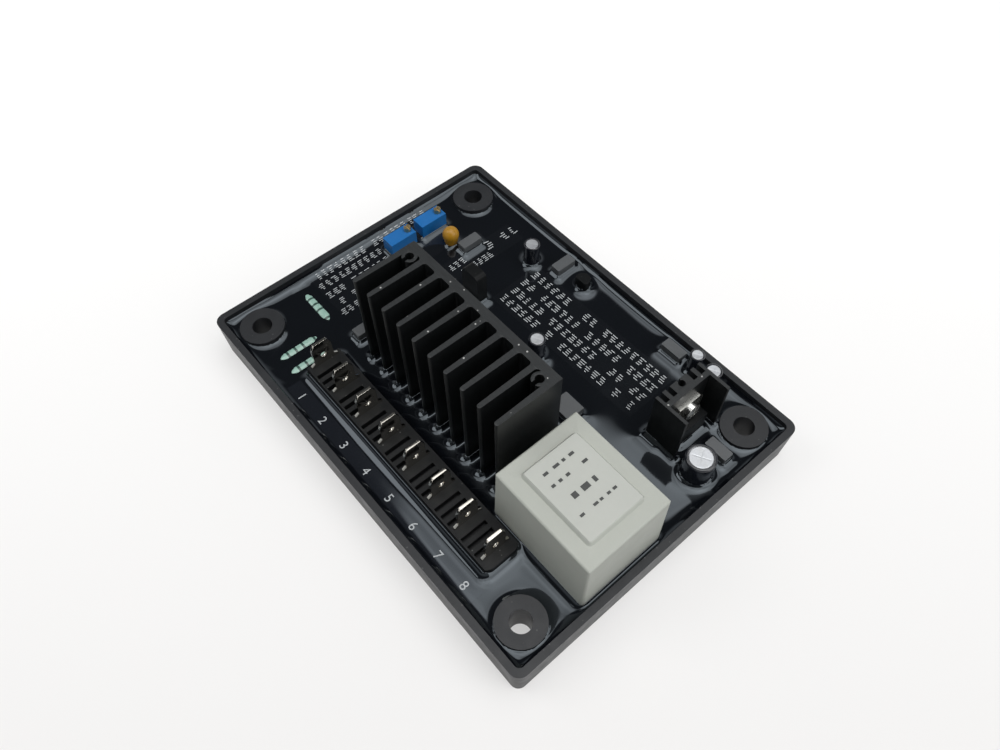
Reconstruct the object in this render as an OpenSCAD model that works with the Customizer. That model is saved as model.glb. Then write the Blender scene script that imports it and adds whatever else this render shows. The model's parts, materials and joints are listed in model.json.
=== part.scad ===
// Potted automatic voltage regulator in an open tray, with a finned heat sink,
// a moulded transformer and a row of eight spade terminals.
// Millimetres. The origin is the centre of the tray's bottom face, +Z is up,
// +X runs along the terminal row and +Y from the terminals to the rear edge.

/* [Tray] */
// Wall thickness at the rim
tray_wall = 2; // [1.5:0.1:3]
// Thickness of the floor
floor_t = 2; // [1.5:0.1:3]
// Radius of the outer corners at the rim
tray_corner_r = 3; // [2:0.5:6]
// How far each outer wall leans in from rim to foot
tray_draft = 0.6; // [0.2:0.1:1.2]
// Gap between the board's edge and the tray's wall at the floor
board_clear = 0.5; // [0.2:0.1:1.5]
// Height of the rim above the resin
rim_stand = 3.3; // [2:0.1:6]

/* [Mounting bosses] */
// Distance of a boss from the rim's outer edge, along X
boss_inset_x = 10.25; // [9.5:0.05:13]
// Distance of a boss from the rim's outer edge, along Y
boss_inset_y = 10; // [9.5:0.05:13]
// Outer diameter of a boss
boss_d = 13; // [10:0.5:15]
// Diameter of the through bore
bore_d = 5.8; // [4:0.1:7]
// Height of a boss above the resin
boss_stand = 1.9; // [0.5:0.1:3]
// Width of the ledge round a boss that carries the board
ledge_w = 1.6; // [1:0.1:2.5]
// Clearance between a boss and the board's notch
notch_clear = 0.5; // [0.2:0.1:1]

/* [Board and resin] */
// Space between the floor and the board
board_gap = 2.4; // [2:0.1:5]
// Thickness of the board
board_t = 1.6; // [1:0.1:2.4]
// Depth of resin over the board
resin_cover = 3.7; // [2.5:0.1:5]
// Length of board from its left edge to the heat sink
left_zone = 35.5; // [35:0.05:45]
// Depth of board behind the heat sink
rear_zone = 48.9; // [48:0.1:60]
// How far a lead reaches below the board
lead_tail = 1.4; // [0.5:0.1:1.8]
// Diameter of a component lead
lead_d = 0.6; // [0.4:0.05:0.8]

/* [Legend strip] */
// Width of the legend strip
legend_w = 4.5; // [3:0.1:6]
// Thickness of the legend strip
legend_t = 0.3; // [0.2:0.05:0.6]
// Distance from the board's front edge to the legend strip
legend_edge = 0.7; // [0.2:0.1:1]
// Gap from the legend strip to the terminal strip's top
legend_gap = 3; // [2.5:0.1:6]
// Depth of the legend strip under the resin's surface
legend_depth = 0.4; // [0.2:0.1:1]
// How far the legend strip runs past the terminal strip's right end
legend_over = 2.3; // [0:0.1:2.5]

/* [Heat sink] */
// Number of fins
fin_count = 10; // [4:2:12]
// Distance from fin to fin
fin_pitch = 6.1; // [5.4:0.1:8]
// Thickness of a fin at its tip
fin_tip_t = 1.3; // [1:0.1:1.6]
// Thickness of a fin at its root
fin_root_t = 1.8; // [1.7:0.1:2.4]
// Length of a fin
fin_l = 17.5; // [12:0.5:24]
// Thickness of the spine
spine_t = 2.5; // [2:0.1:4]
// Height of the heat sink
sink_h = 38; // [28:0.5:45]
// Radius at the root of a fin
root_r = 0.9; // [0.5:0.1:1.2]
// Core diameter of the two screw ports, and of their screws
port_d = 2.4; // [2:0.1:2.6]
// Wall of a screw port
port_wall = 0.9; // [0.6:0.1:1]
// Depth of screw in a port
port_screw_l = 8; // [5:0.5:12]
// Head diameter of a port screw
port_head_d = 4.4; // [4:0.1:5]
// Head height of a port screw
port_head_h = 1.5; // [1:0.1:1.9]

/* [Power device] */
// Width of the moulded case
power_w = 15.6; // [12:0.1:20]
// Depth of the moulded case
power_t = 5; // [4:0.1:6]
// Height of the moulded case
power_h = 20.8; // [18:0.1:24]
// Height of the case above the board
power_stand = 4; // [2:0.1:6]
// Distance from leg to leg
power_leg_pitch = 5.45; // [4:0.05:6]
// Width of a leg
power_leg_w = 1.2; // [0.8:0.1:1.6]
// Thickness of a leg
power_leg_t = 0.6; // [0.4:0.05:0.8]
// Distance from the case's top to its screw
power_hole_drop = 5; // [4.5:0.1:7]

/* [Transformer] */
// Length along X
transformer_l = 32.6; // [28:0.1:36]
// Width along Y
transformer_w = 27.2; // [22:0.1:30]
// Height above the board, without the raised pad
transformer_h = 26.4; // [18:0.1:32]
// Radius of the upright edges at the foot
transformer_r = 1.2; // [1.2:0.1:3]
// Lean of the sides from foot to top
transformer_draft = 0.6; // [0.2:0.1:0.8]
// Radius of the top edges
transformer_top_r = 0.7; // [0.5:0.1:2.5]
// Height of the raised pad
pad_h = 1.1; // [0.3:0.1:1.5]
// Distance by which each side of the raised pad slopes inwards
pad_draft = 0.7; // [0.1:0.1:1]
// Width of the border round the raised pad
pad_border = 4; // [2.5:0.1:6]
// Gap between the heat sink and the transformer
transformer_gap = 3.25; // [2:0.05:8]
// Distance from the transformer to the board's right edge
transformer_edge = 0.25; // [0.2:0.05:6]
// Distance of the transformer's front from the fin tips, towards the terminals
transformer_front = 4.9; // [3:0.1:5.2]
// Diameter of a transformer pin
transformer_pin_d = 0.8; // [0.6:0.1:1.2]
// Distance between the transformer's pins, both ways
transformer_pin_pitch = 20; // [15:0.5:20]

/* [Terminals] */
// Number of spade terminals
tab_count = 8; // [4:1:8]
// Distance from terminal to terminal
tab_pitch = 10.53; // [10:0.01:11]
// Width of a spade
tab_w = 6.3; // [4.8:0.1:6.5]
// Thickness of a spade
tab_t = 0.8; // [0.6:0.05:1]
// Height of a spade above the strip
tab_h = 8.9; // [7.5:0.1:11]
// Height of the chamfer at the tip
tab_chamfer_h = 2.2; // [1:0.1:2.6]
// Width of the chamfer at the tip
tab_chamfer_w = 1.05; // [0.5:0.05:1.4]
// Diameter of the latch hole
tab_hole_d = 1.8; // [1.2:0.1:2]
// Height of the latch hole above the strip
tab_hole_z = 3.4; // [2.9:0.1:4.4]
// How far a shoulder stands out on each side
shoulder_w = 1.2; // [0.6:0.1:1.5]
// Height of a shoulder
shoulder_h = 1.4; // [0.8:0.1:1.8]
// Width of the stem inside the strip
stem_w = 4.6; // [3:0.1:4.7]
// Width of the solder leg
tab_leg_w = 1.4; // [1:0.1:2]

/* [Terminal strip] */
// Width of the strip's top
strip_w = 10.7; // [10:0.1:13]
// Height of the strip above the board
strip_h = 7; // [6:0.1:9]
// Lean of the strip's long sides
strip_draft = 0.9; // [0.2:0.1:1.2]
// Gap from the strip's top to the fin tips
strip_gap = 6; // [6:0.1:10]
// How far the strip starts before the heat sink
strip_lead = 6.15; // [5.5:0.05:6.5]
// Distance from the strip's left end to the first terminal
strip_left = 1; // [0.9:0.1:1.2]
// Distance from the last terminal to the strip's right end
strip_right = 3.4; // [3:0.1:5]
// Radius of the strip's right corners
strip_end_r = 3; // [1:0.5:5]
// Number of vent slots between two terminals
slot_count = 3; // [1:1:3]
// Distance from slot to slot
slot_pitch = 2.55; // [2:0.05:2.6]
// Width of a slot
slot_w = 1.2; // [0.5:0.05:1.25]
// Length of a slot
slot_l = 7.9; // [5:0.1:8]
// Depth of a slot
slot_depth = 2; // [1:0.1:4]
// Distance from a terminal to the first slot
slot_start = 3.7; // [3:0.05:3.75]
// Distance of the slots' middle in front of the terminal row
slot_shift = 0.9; // [0:0.1:0.9]

/* [Trimmers] */
// Length along Y
trimmer_l = 9.3; // [8:0.1:10]
// Width along X
trimmer_w = 4.7; // [4:0.1:5]
// Height above the board
trimmer_h = 9.5; // [8:0.1:12]
// Distance between the two trimmers
trimmer_pitch = 11.8; // [11:0.1:14]
// Diameter of the adjusting screw
adjuster_d = 2.2; // [1.8:0.1:2.6]
// Running clearance round the adjusting screw
adjuster_clear = 0.05; // [0.02:0.01:0.1]
// Height of the adjusting screw above the trimmer
adjuster_stand = 1.4; // [0.8:0.1:2]
// Depth of the adjusting screw in the trimmer
adjuster_depth = 3; // [2:0.1:5]
// Distance from the screw to the trimmer's rear end
adjuster_edge = 1.5; // [1.4:0.1:2]
// Width of the screwdriver slot
adjuster_slot_w = 0.5; // [0.3:0.05:0.7]
// Depth of the screwdriver slot
adjuster_slot_h = 0.6; // [0.3:0.1:0.7]

/* [Film capacitors] */
// Length of a small film capacitor
film_l = 7; // [6:0.1:7.4]
// Width of a small film capacitor
film_w = 3.3; // [2.5:0.1:3.6]
// Height above the board
film_h = 7.2; // [6:0.1:10]
// Width of the wide film capacitor
wide_film_w = 5.8; // [4:0.1:6.5]
// Edge radius of a film capacitor
film_r = 0.35; // [0.2:0.05:0.8]
// Distance between a film capacitor's leads
film_lead_pitch = 5; // [3:0.1:5.2]

/* [Electrolytic capacitors] */
// Can diameter of the small capacitors, with sleeve
small_can_d = 5; // [4:0.1:5.6]
// Can diameter of the slim capacitor, with sleeve
slim_can_d = 4.2; // [4:0.1:5]
// Height of the small capacitors
small_can_h = 12; // [9:0.1:14]
// Can diameter of the reservoir capacitor, with sleeve
large_can_d = 8.4; // [8:0.1:10.6]
// Height of the reservoir capacitor
large_can_h = 12.6; // [10:0.1:18]
// Thickness of the sleeve
sleeve_t = 0.25; // [0.15:0.05:0.4]
// Radius of the can's top edge
can_edge_r = 0.6; // [0.4:0.1:1]
// Share of the can's radius to which the sleeve's lip reaches in
lip_share = 0.78; // [0.6:0.02:0.8]

/* [Drop capacitor] */
// Diameter of the drop
drop_d = 5.2; // [4:0.1:6]
// Height of the drop's centre above the board
drop_z = 8.2; // [7:0.1:11]
// Height of the drop's neck above the board
drop_neck_z = 4.2; // [4:0.1:5.5]
// Angle below the drop's middle at which it runs into the neck
drop_neck_angle = 15; // [5:1:30]
// Distance between the drop's leads
drop_lead_pitch = 2.5; // [1.5:0.1:3]

/* [Small heat sink] */
// Length along Y
clip_l = 16.6; // [14.6:0.1:18]
// Depth along X
clip_t = 10.3; // [9:0.1:12]
// Height above the board
clip_h = 22.5; // [20:0.5:28]
// Thickness of the side wings
clip_wing_t = 0.95; // [0.8:0.05:1.2]
// Thickness of the plate that carries the transistor
clip_plate_t = 1.5; // [1.2:0.1:2.5]
// Depth of the short fins behind the plate
clip_fin_l = 2.8; // [2:0.1:4]
// Width of the slots between the short fins
clip_slot_w = 1.5; // [1.2:0.1:1.7]
// Distance from slot to slot
clip_slot_pitch = 2.8; // [2.5:0.1:3]
// Core diameter of the middle port
clip_port_d = 2; // [1.4:0.1:2.2]
// Diameter of a solder pin
clip_pin_d = 1.2; // [0.8:0.1:1.2]

/* [Transistor] */
// Width of the metal tab
transistor_w = 10; // [9:0.1:10.4]
// Thickness of the metal tab
transistor_tab_t = 1.3; // [1:0.1:1.6]
// Height of the tab's top above the board
transistor_top = 18; // [17:0.1:19]
// Height of the metal tab
transistor_tab_h = 15.4; // [15:0.1:16]
// Height of bare tab above the moulded case
transistor_bare_h = 6.4; // [6:0.1:7.4]
// Thickness of the moulded case in front of the tab
transistor_case_t = 3.1; // [2.5:0.1:3.5]
// Chamfer of the tab's top corners
transistor_chamfer = 1.2; // [0.5:0.1:1.5]
// Distance from the tab's top to its screw
transistor_hole_drop = 2.8; // [2.6:0.1:3]
// Distance from leg to leg
transistor_leg_pitch = 2.54; // [2.4:0.02:3]
// Width of a leg
transistor_leg_w = 0.8; // [0.6:0.1:1]
// Thickness of a leg
transistor_leg_t = 0.5; // [0.4:0.05:0.7]

/* [Fixing screws] */
// Thread diameter of the two device screws
screw_d = 3; // [2.5:0.1:3.2]
// Clearance round a screw in the device that it holds
screw_clear = 0.3; // [0.1:0.05:0.4]
// Head diameter of the device screws
screw_head_d = 5.4; // [5:0.1:5.6]
// Head height of the device screws
screw_head_h = 2; // [1.5:0.1:2.4]
// Width of the arms of a screw head's cross recess
recess_w = 0.7; // [0.5:0.1:1]
// Length of the arms of a screw head's cross recess
recess_l = 2.8; // [2:0.1:3.2]
// Depth of a screw head's cross recess
recess_h = 0.7; // [0.4:0.1:0.9]

/* [Resistors] */
// Length of a resistor's body
resistor_l = 13.4; // [10:0.1:13.6]
// Diameter of the resistor's ends
resistor_end_d = 2.6; // [2:0.1:3]
// Diameter of the resistor between its tapered ends
resistor_d = 3.6; // [3.2:0.1:4]
// Gap between a resistor and the board
resistor_stand = 0.5; // [0.2:0.1:1]
// Length of the taper at each end of a resistor
resistor_taper_l = 2.2; // [1.5:0.1:4]
// Distance from the resistor's end to its upright lead
resistor_lead_out = 1.2; // [1:0.1:1.6]
// Bend radius of a resistor's lead
resistor_bend_r = 0.8; // [0.6:0.1:1]

/* [Small devices] */
// Width of the standing device
standing_w = 7; // [6.4:0.1:8]
// Depth of the standing device
standing_t = 3.6; // [3:0.1:4.2]
// Corner radius of the standing device
standing_r = 1.6; // [0.5:0.1:1.8]
// Height of the standing device's top above the board
standing_top = 15.6; // [14:0.1:18]
// Height of the standing device's case above the board
standing_foot = 2.5; // [1:0.1:4]
// Diameter of the small transistor
signal_d = 4.6; // [4:0.1:5]
// Depth of the small transistor from its flat to its back
signal_t = 3.5; // [3:0.1:3.8]
// Height of the small transistor's case
signal_h = 4.6; // [4:0.1:5.2]
// Height of the small transistor's case above the board
signal_foot = 3.4; // [2:0.1:4]

/* [Places on the board] */
// Distance of the trimmers from the board's left edge
trimmer_from_left = 8; // [7:0.1:9]
// Distance of the rear trimmer from the heat sink's back
trimmer_from_sink = 23.7; // [22:0.1:25]
// Distance of the drop capacitor from the board's left edge
drop_from_left = 17.3; // [16.5:0.1:17.4]
// Distance of the drop capacitor from the heat sink's back
drop_from_sink = 24.7; // [22:0.1:26]
// Distance of film capacitor 1 from the board's left edge
film_1_from_left = 22.3; // [22.2:0.1:24]
// Distance of film capacitor 1 from the heat sink's back
film_1_from_sink = 28.2; // [26:0.1:30]
// Distance of film capacitor 2 from the heat sink's left end
film_2_from_end = 12.7; // [12:0.1:13.5]
// Distance of film capacitor 2 from the board's rear edge
film_2_from_rear = 5; // [4.6:0.1:6]
// Distance of film capacitor 3 before the transformer's left side
film_3_from_block = 3.4; // [2.6:0.1:5]
// Distance of film capacitor 3 from the board's rear edge
film_3_from_rear = 3.1; // [2.6:0.1:5]
// Distance of film capacitor 4 from the board's right edge
film_4_from_right = 6.8; // [6:0.1:7.5]
// Distance of film capacitor 4 from the heat sink's back
film_4_from_sink = 30.9; // [30:0.1:32]
// Distance of film capacitor 5 before the heat sink's left end
film_5_from_end = 7.2; // [6.5:0.1:8]
// Distance of film capacitor 5 from the line of the fin tips
film_5_from_tips = 3.9; // [3.6:0.1:8]
// Distance of film capacitor 6 from the heat sink's right end
film_6_from_end = 6.2; // [4:0.1:8]
// Distance of film capacitor 6 from the heat sink's back
film_6_from_sink = 9.9; // [5:0.1:12]
// Distance of electrolytic 1 from the heat sink's left end
can_1_from_end = 3.8; // [3:0.1:6]
// Distance of electrolytic 1 from the board's rear edge
can_1_from_rear = 10.1; // [8:0.1:12]
// Distance of electrolytic 2 from the heat sink's left end
can_2_from_end = 31; // [28:0.1:34]
// Distance of electrolytic 2 from the heat sink's back
can_2_from_sink = 16.3; // [12:0.1:20]
// Distance of electrolytic 3 from the transformer's left side
can_3_from_block = 4; // [3.4:0.1:4.6]
// Distance of electrolytic 3 from the board's rear edge
can_3_from_rear = 2.9; // [2.6:0.1:4]
// Distance of electrolytic 4 from the transformer's left side
can_4_from_block = 10.4; // [9.6:0.1:12]
// Distance of electrolytic 4 from the board's rear edge
can_4_from_rear = 3.6; // [3:0.1:4.5]
// Distance of electrolytic 5 from the board's right edge
can_5_from_right = 6.9; // [6.5:0.1:7.2]
// Distance of electrolytic 5 from the heat sink's back
can_5_from_sink = 22.6; // [18:0.1:23]
// Gap between the small heat sink and electrolytic 5
clip_can_gap = 2.05; // [0.5:0.05:4]
// Distance of the small heat sink from the heat sink's back
clip_from_sink = 21; // [18:0.1:22]
// Distance of resistor 1 from the board's left edge
resistor_1_from_left = 10.4; // [10:0.1:13]
// Distance of resistor 1 behind the terminal strip's top
resistor_1_from_strip = 4.6; // [3.4:0.1:6]
// Distance of resistor 2 before the terminal strip's left end
resistor_2_from_strip = 9.8; // [8:0.1:10.4]
// Distance of resistor 2 in front of the terminal row
resistor_2_from_axis = 2.6; // [2:0.1:4]
// Distance of resistor 3 before the terminal strip's left end
resistor_3_from_strip = 3.8; // [2.8:0.1:4.4]
// Distance of resistor 3 in front of the terminal row
resistor_3_from_axis = 2.8; // [2:0.1:4]
// Distance of the standing device from the heat sink's left end
standing_from_end = 2.8; // [1:0.1:4]
// Distance of the standing device from the heat sink's back
standing_from_sink = 17; // [12:0.1:20]
// Distance of the small transistor from the heat sink's left end
signal_from_end = 21.6; // [20:0.1:26]
// Distance of the small transistor from the board's rear edge
signal_from_rear = 5.4; // [4:0.1:9]

/* [Hidden] */
$fn = 48;
eps = 0.01;

// Levels, measured from the tray's bottom face
board_z = floor_t + board_gap;
board_top = board_z + board_t;
resin_top = board_top + resin_cover;
tray_h = resin_top + rim_stand;
boss_top = resin_top + boss_stand;
tail_z = board_z - lead_tail;

// The board's length and width follow what stands on it
sink_l = (fin_count - 1) * fin_pitch + fin_root_t;
sink_w = fin_l + spine_t;
board_l = left_zone + sink_l + transformer_gap + transformer_l + transformer_edge;
board_w = legend_edge + legend_w + legend_gap + strip_w + strip_gap + sink_w + rear_zone;

// The tray follows the board
tray_l = board_l + 2 * (board_clear + tray_wall + tray_draft);
tray_w = board_w + 2 * (board_clear + tray_wall + tray_draft);
boss_x = tray_l / 2 - boss_inset_x;
boss_y = tray_w / 2 - boss_inset_y;
ledge_r = boss_d / 2 + notch_clear + ledge_w;

// Lines of the layout
left_edge = -board_l / 2;
right_edge = board_l / 2;
front_edge = -board_w / 2;
rear_edge = board_w / 2;
legend_y = front_edge + legend_edge + legend_w / 2;
strip_y = front_edge + legend_edge + legend_w + legend_gap + strip_w / 2;
fin_tip_y = strip_y + strip_w / 2 + strip_gap;
sink_back = fin_tip_y + sink_w;
sink_x0 = left_edge + left_zone;
sink_x = sink_x0 + sink_l / 2;
sink_x1 = sink_x0 + sink_l;
transformer_x = sink_x1 + transformer_gap + transformer_l / 2;
transformer_y = fin_tip_y - transformer_front + transformer_w / 2;
transformer_x0 = sink_x1 + transformer_gap;
strip_x0 = sink_x0 - strip_lead;
strip_l = strip_left + (tab_count - 1) * tab_pitch + strip_right;
tab_x0 = strip_x0 + strip_left;
strip_top = board_top + strip_h;

// Screw ports stand in the first and the last gap, against the spine
port_y = sink_back - spine_t - port_d / 2 - port_wall / 2;
port_out = (sink_l - fin_root_t) / 2 - fin_root_t / 2 - port_d / 2 - port_wall / 2;
port_x = [sink_x - port_out, sink_x + port_out];

// The power device stands behind the middle gap
power_hole_z = board_top + power_stand + power_h - power_hole_drop;

// Places of the parts on the board: X, Y, turn about Z
trimmer_x = left_edge + trimmer_from_left;
trimmer_rear_y = sink_back + trimmer_from_sink;
trimmer_places = [[trimmer_x, trimmer_rear_y], [trimmer_x, trimmer_rear_y - trimmer_pitch]];
drop_place = [left_edge + drop_from_left, sink_back + drop_from_sink];
film_places = [
    [left_edge + film_1_from_left, sink_back + film_1_from_sink, 90],
    [sink_x0 + film_2_from_end, rear_edge - film_2_from_rear, 90],
    [transformer_x0 - film_3_from_block, rear_edge - film_3_from_rear, 0],
    [right_edge - film_4_from_right, sink_back + film_4_from_sink, 0],
    [sink_x0 - film_5_from_end, fin_tip_y + film_5_from_tips, 90],
    [sink_x1 - film_6_from_end, sink_back + film_6_from_sink, 0]
];
film_widths = [film_w, film_w, film_w, film_w, film_w, wide_film_w];
can_places = [
    [sink_x0 + can_1_from_end, rear_edge - can_1_from_rear],
    [sink_x0 + can_2_from_end, sink_back + can_2_from_sink],
    [transformer_x0 + can_3_from_block, rear_edge - can_3_from_rear],
    [transformer_x0 + can_4_from_block, rear_edge - can_4_from_rear],
    [right_edge - can_5_from_right, sink_back + can_5_from_sink]
];
can_sizes = [
    [small_can_d, small_can_h],
    [small_can_d, small_can_h],
    [slim_can_d, small_can_h],
    [small_can_d, small_can_h],
    [large_can_d, large_can_h]
];
clip_x = can_places[4][0] - large_can_d / 2 - clip_can_gap - clip_t;
clip_place = [clip_x, sink_back + clip_from_sink];
transistor_y = clip_place[1] + clip_l / 2;
transistor_x = clip_place[0] + clip_fin_l + clip_plate_t;
transistor_hole_z = board_top + transistor_top - transistor_hole_drop;
resistor_places = [
    [left_edge + resistor_1_from_left, strip_y + strip_w / 2 + resistor_1_from_strip, 0],
    [strip_x0 - resistor_2_from_strip, strip_y - resistor_2_from_axis, 90],
    [strip_x0 - resistor_3_from_strip, strip_y - resistor_3_from_axis, 90]
];
resistor_axis = resistor_stand + resistor_d / 2;
standing_place = [sink_x0 + standing_from_end, sink_back + standing_from_sink];
signal_place = [sink_x0 + signal_from_end, rear_edge - signal_from_rear];

TRIMMERS = len(trimmer_places);
FILMS = len(film_places);
CANS = len(can_places);
RESISTORS = len(resistor_places);

// A block whose sides lean in towards its foot, with conical corners.
// Length, width and radius are those of its top.
module drafted_block(l, w, h, r, draft) {
    rotate([90, 0, 0])
        linear_extrude(w - 2 * r, center = true)
            polygon([[-l / 2 + draft, 0], [l / 2 - draft, 0], [l / 2, h], [-l / 2, h]]);
    rotate([90, 0, 90])
        linear_extrude(l - 2 * r, center = true)
            polygon([[-w / 2 + draft, 0], [w / 2 - draft, 0], [w / 2, h], [-w / 2, h]]);
    for (x = [-1, 1], y = [-1, 1])
        translate([x * (l / 2 - r), y * (w / 2 - r), 0])
            cylinder(h = h, r1 = r - draft, r2 = r);
}

// A flat rectangle with round corners
module rounded_rect(l, w, r) {
    square([l - 2 * r, w], center = true);
    square([l, w - 2 * r], center = true);
    for (x = [-1, 1], y = [-1, 1])
        translate([x * (l / 2 - r), y * (w / 2 - r)])
            circle(r);
}

// A round lead from below the board up to a height over it
module lead(height, d = lead_d) {
    translate([0, 0, tail_z])
        cylinder(h = board_top + height - tail_z, d = d);
}

// Two round leads in a row along X
module lead_pair(pitch, height) {
    for (side = [-1, 1])
        translate([side * pitch / 2, 0, 0])
            lead(height);
}

// A flat leg from below the board up to a height over it
module flat_leg(w, t, height) {
    translate([-w / 2, -t / 2, tail_z])
        cube([w, t, board_top + height - tail_z]);
}

// A screw along +Z with a domed head: the head's underside is at zero and the thread points down
module pan_screw(d, l, head_d, head_h) {
    difference() {
        union() {
            translate([0, 0, -l])
                cylinder(h = l + eps, d = d);
            rotate_extrude()
                intersection() {
                    translate([0, -head_d])
                        circle(head_d + head_h);
                    square([head_d / 2, head_h]);
                }
        }
        for (turn = [0, 90])
            rotate(turn)
                translate([-recess_l / 2, -recess_w / 2, head_h - recess_h])
                    cube([recess_l, recess_w, head_h]);
    }
}

// The hollow of the tray, which the resin fills up to its level
module cavity(top) {
    slope = tray_draft / tray_h;
    depth = top - floor_t;
    shrink = slope * (tray_h - top);
    translate([0, 0, floor_t])
        drafted_block(
            tray_l - 2 * (tray_wall + shrink),
            tray_w - 2 * (tray_wall + shrink),
            depth,
            max(tray_corner_r - tray_wall, slope * depth) + slope * depth,
            slope * depth
        );
}

// The four bosses with the ledges that carry the board
module boss_posts() {
    for (x = [-boss_x, boss_x], y = [-boss_y, boss_y])
        translate([x, y, 0]) {
            cylinder(h = boss_top, d = boss_d);
            cylinder(h = board_z, r = ledge_r);
        }
}

module tray() {
    color("#26272a")
        difference() {
            union() {
                difference() {
                    drafted_block(tray_l, tray_w, tray_h, tray_corner_r, tray_draft);
                    cavity(tray_h + eps);
                }
                intersection() {
                    boss_posts();
                    drafted_block(tray_l, tray_w, tray_h, tray_corner_r, tray_draft);
                }
            }
            for (x = [-boss_x, boss_x], y = [-boss_y, boss_y])
                translate([x, y, -eps])
                    cylinder(h = boss_top + 2 * eps, d = bore_d);
        }
}

// The board is notched at its corners to pass the bosses, and drilled for every lead
module circuit_board() {
    notch_r = boss_d / 2 + notch_clear;
    reach = boss_inset_x + boss_inset_y;
    color("#15181c")
        difference() {
            translate([0, 0, board_z])
                linear_extrude(board_t)
                    difference() {
                        square([board_l, board_w], center = true);
                        for (x = [0, 1], y = [0, 1])
                            mirror([x, 0])
                                mirror([0, y])
                                    translate([boss_x, boss_y]) {
                                        circle(notch_r);
                                        translate([0, -notch_r])
                                            square([reach, reach + notch_r]);
                                        translate([-notch_r, 0])
                                            square([reach + notch_r, reach]);
                                    }
                    }
            leads();
        }
}

// Every lead, leg and screw that passes through the board
module leads() {
    heat_sink_screws();
    power_legs();
    transformer_pins();
    for (i = [1:tab_count])
        tab_leg(i);
    for (i = [1:TRIMMERS])
        trimmer_leads(i);
    drop_leads();
    for (i = [1:FILMS])
        film_leads(i);
    for (i = [1:CANS])
        can_leads(i);
    clip_pins();
    transistor_legs();
    for (i = [1:RESISTORS])
        resistor_leads(i);
    standing_legs();
    signal_legs();
}

// Everything that dips into the resin
module embedded() {
    boss_posts();
    circuit_board();
    leads();
    legend_strip();
    heat_sink();
    power_device();
    transformer();
    strip_block();
    for (i = [1:TRIMMERS])
        trimmer_block(i);
    drop_capacitor();
    for (i = [1:FILMS])
        film_capacitor(i);
    for (i = [1:CANS])
        at_can(i)
            cylinder(h = can_sizes[i - 1][1], d = can_sizes[i - 1][0]);
    small_heat_sink();
    transistor_case();
    transistor_tab();
    for (i = [1:RESISTORS])
        resistor(i);
    standing_device();
    signal_transistor();
}

module potting_resin() {
    color("#101418", 0.5)
        difference() {
            cavity(resin_top);
            embedded();
        }
}

module legend_strip() {
    color("#2b3038")
        translate([strip_x0, legend_y - legend_w / 2, resin_top - legend_depth - legend_t])
            cube([strip_l + legend_over, legend_w, legend_t]);
}

// One fin, pointing along -Y from the spine, with a round tip
module fin_profile() {
    translate([0, -fin_l + fin_tip_t / 2])
        circle(d = fin_tip_t);
    polygon([
        [-fin_tip_t / 2, -fin_l + fin_tip_t / 2],
        [fin_tip_t / 2, -fin_l + fin_tip_t / 2],
        [fin_root_t / 2, 0],
        [fin_root_t / 2, eps],
        [-fin_root_t / 2, eps],
        [-fin_root_t / 2, 0]
    ]);
}

// The fillets that fill the root of one gap, whose spine face is at Y zero
module root_fillets(gap) {
    for (side = [0, 1])
        mirror([side, 0])
            difference() {
                translate([gap / 2 - root_r, -root_r])
                    square([root_r + eps, root_r + eps]);
                translate([gap / 2 - root_r, -root_r])
                    circle(root_r);
            }
}

// The comb of fins on its spine, centred on X, with the spine's rear face at Y zero
module sink_profile() {
    translate([-sink_l / 2, -spine_t])
        square([sink_l, spine_t]);
    for (i = [0:fin_count - 1])
        translate([(i - (fin_count - 1) / 2) * fin_pitch, -spine_t])
            fin_profile();
    for (i = [0:fin_count - 2])
        translate([(i - (fin_count - 2) / 2) * fin_pitch, -spine_t])
            root_fillets(fin_pitch - fin_root_t);
}

// The solid round of a screw port, before it is bored
module port_round() {
    circle(d = port_d + 2 * port_wall);
}

// The bore of a screw port and the slit by which it opens into its gap
module port_cut() {
    circle(d = port_d);
    translate([-port_d / 4, -port_d])
        square([port_d / 2, port_d]);
}

module heat_sink() {
    color("#1d1f21")
        difference() {
            translate([0, 0, board_top])
                linear_extrude(sink_h)
                    difference() {
                        union() {
                            translate([sink_x, sink_back])
                                sink_profile();
                            for (x = port_x)
                                translate([x, port_y])
                                    port_round();
                        }
                        for (x = port_x)
                            translate([x, port_y])
                                port_cut();
                    }
            power_device_screw();
        }
}

module heat_sink_screws() {
    color("#9a9da0")
        for (x = port_x)
            translate([x, port_y, board_z])
                rotate([180, 0, 0])
                    pan_screw(port_d, board_t + port_screw_l, port_head_d, port_head_h);
}

module power_legs() {
    for (i = [-1:1])
        translate([sink_x + i * power_leg_pitch, sink_back + power_t / 2, 0])
            flat_leg(power_leg_w, power_leg_t, power_stand);
}

module power_device() {
    color("#202124") {
        power_legs();
        difference() {
            translate([sink_x - power_w / 2, sink_back, board_top + power_stand])
                cube([power_w, power_t, power_h]);
            translate([sink_x, sink_back - eps, power_hole_z])
                rotate([-90, 0, 0])
                    cylinder(h = power_t + 2 * eps, d = screw_d + 2 * screw_clear);
        }
    }
}

module power_device_screw() {
    color("#b5b8ba")
        translate([sink_x, sink_back + power_t, power_hole_z])
            rotate([-90, 0, 0])
                pan_screw(screw_d, power_t + spine_t, screw_head_d, screw_head_h);
}

// An outline a hair wider than the leaning sides, with round corners at its top
module top_round_profile(foot_w, top_w, h, r) {
    half = top_w / 2 + eps + transformer_draft * r / h;
    polygon([
        [-foot_w / 2 - transformer_draft, 0],
        [foot_w / 2 + transformer_draft, 0],
        [half, h - r],
        [half - r, h],
        [r - half, h],
        [-half, h - r]
    ]);
    for (side = [-1, 1])
        translate([side * (half - r), h - r])
            circle(r);
}

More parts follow.
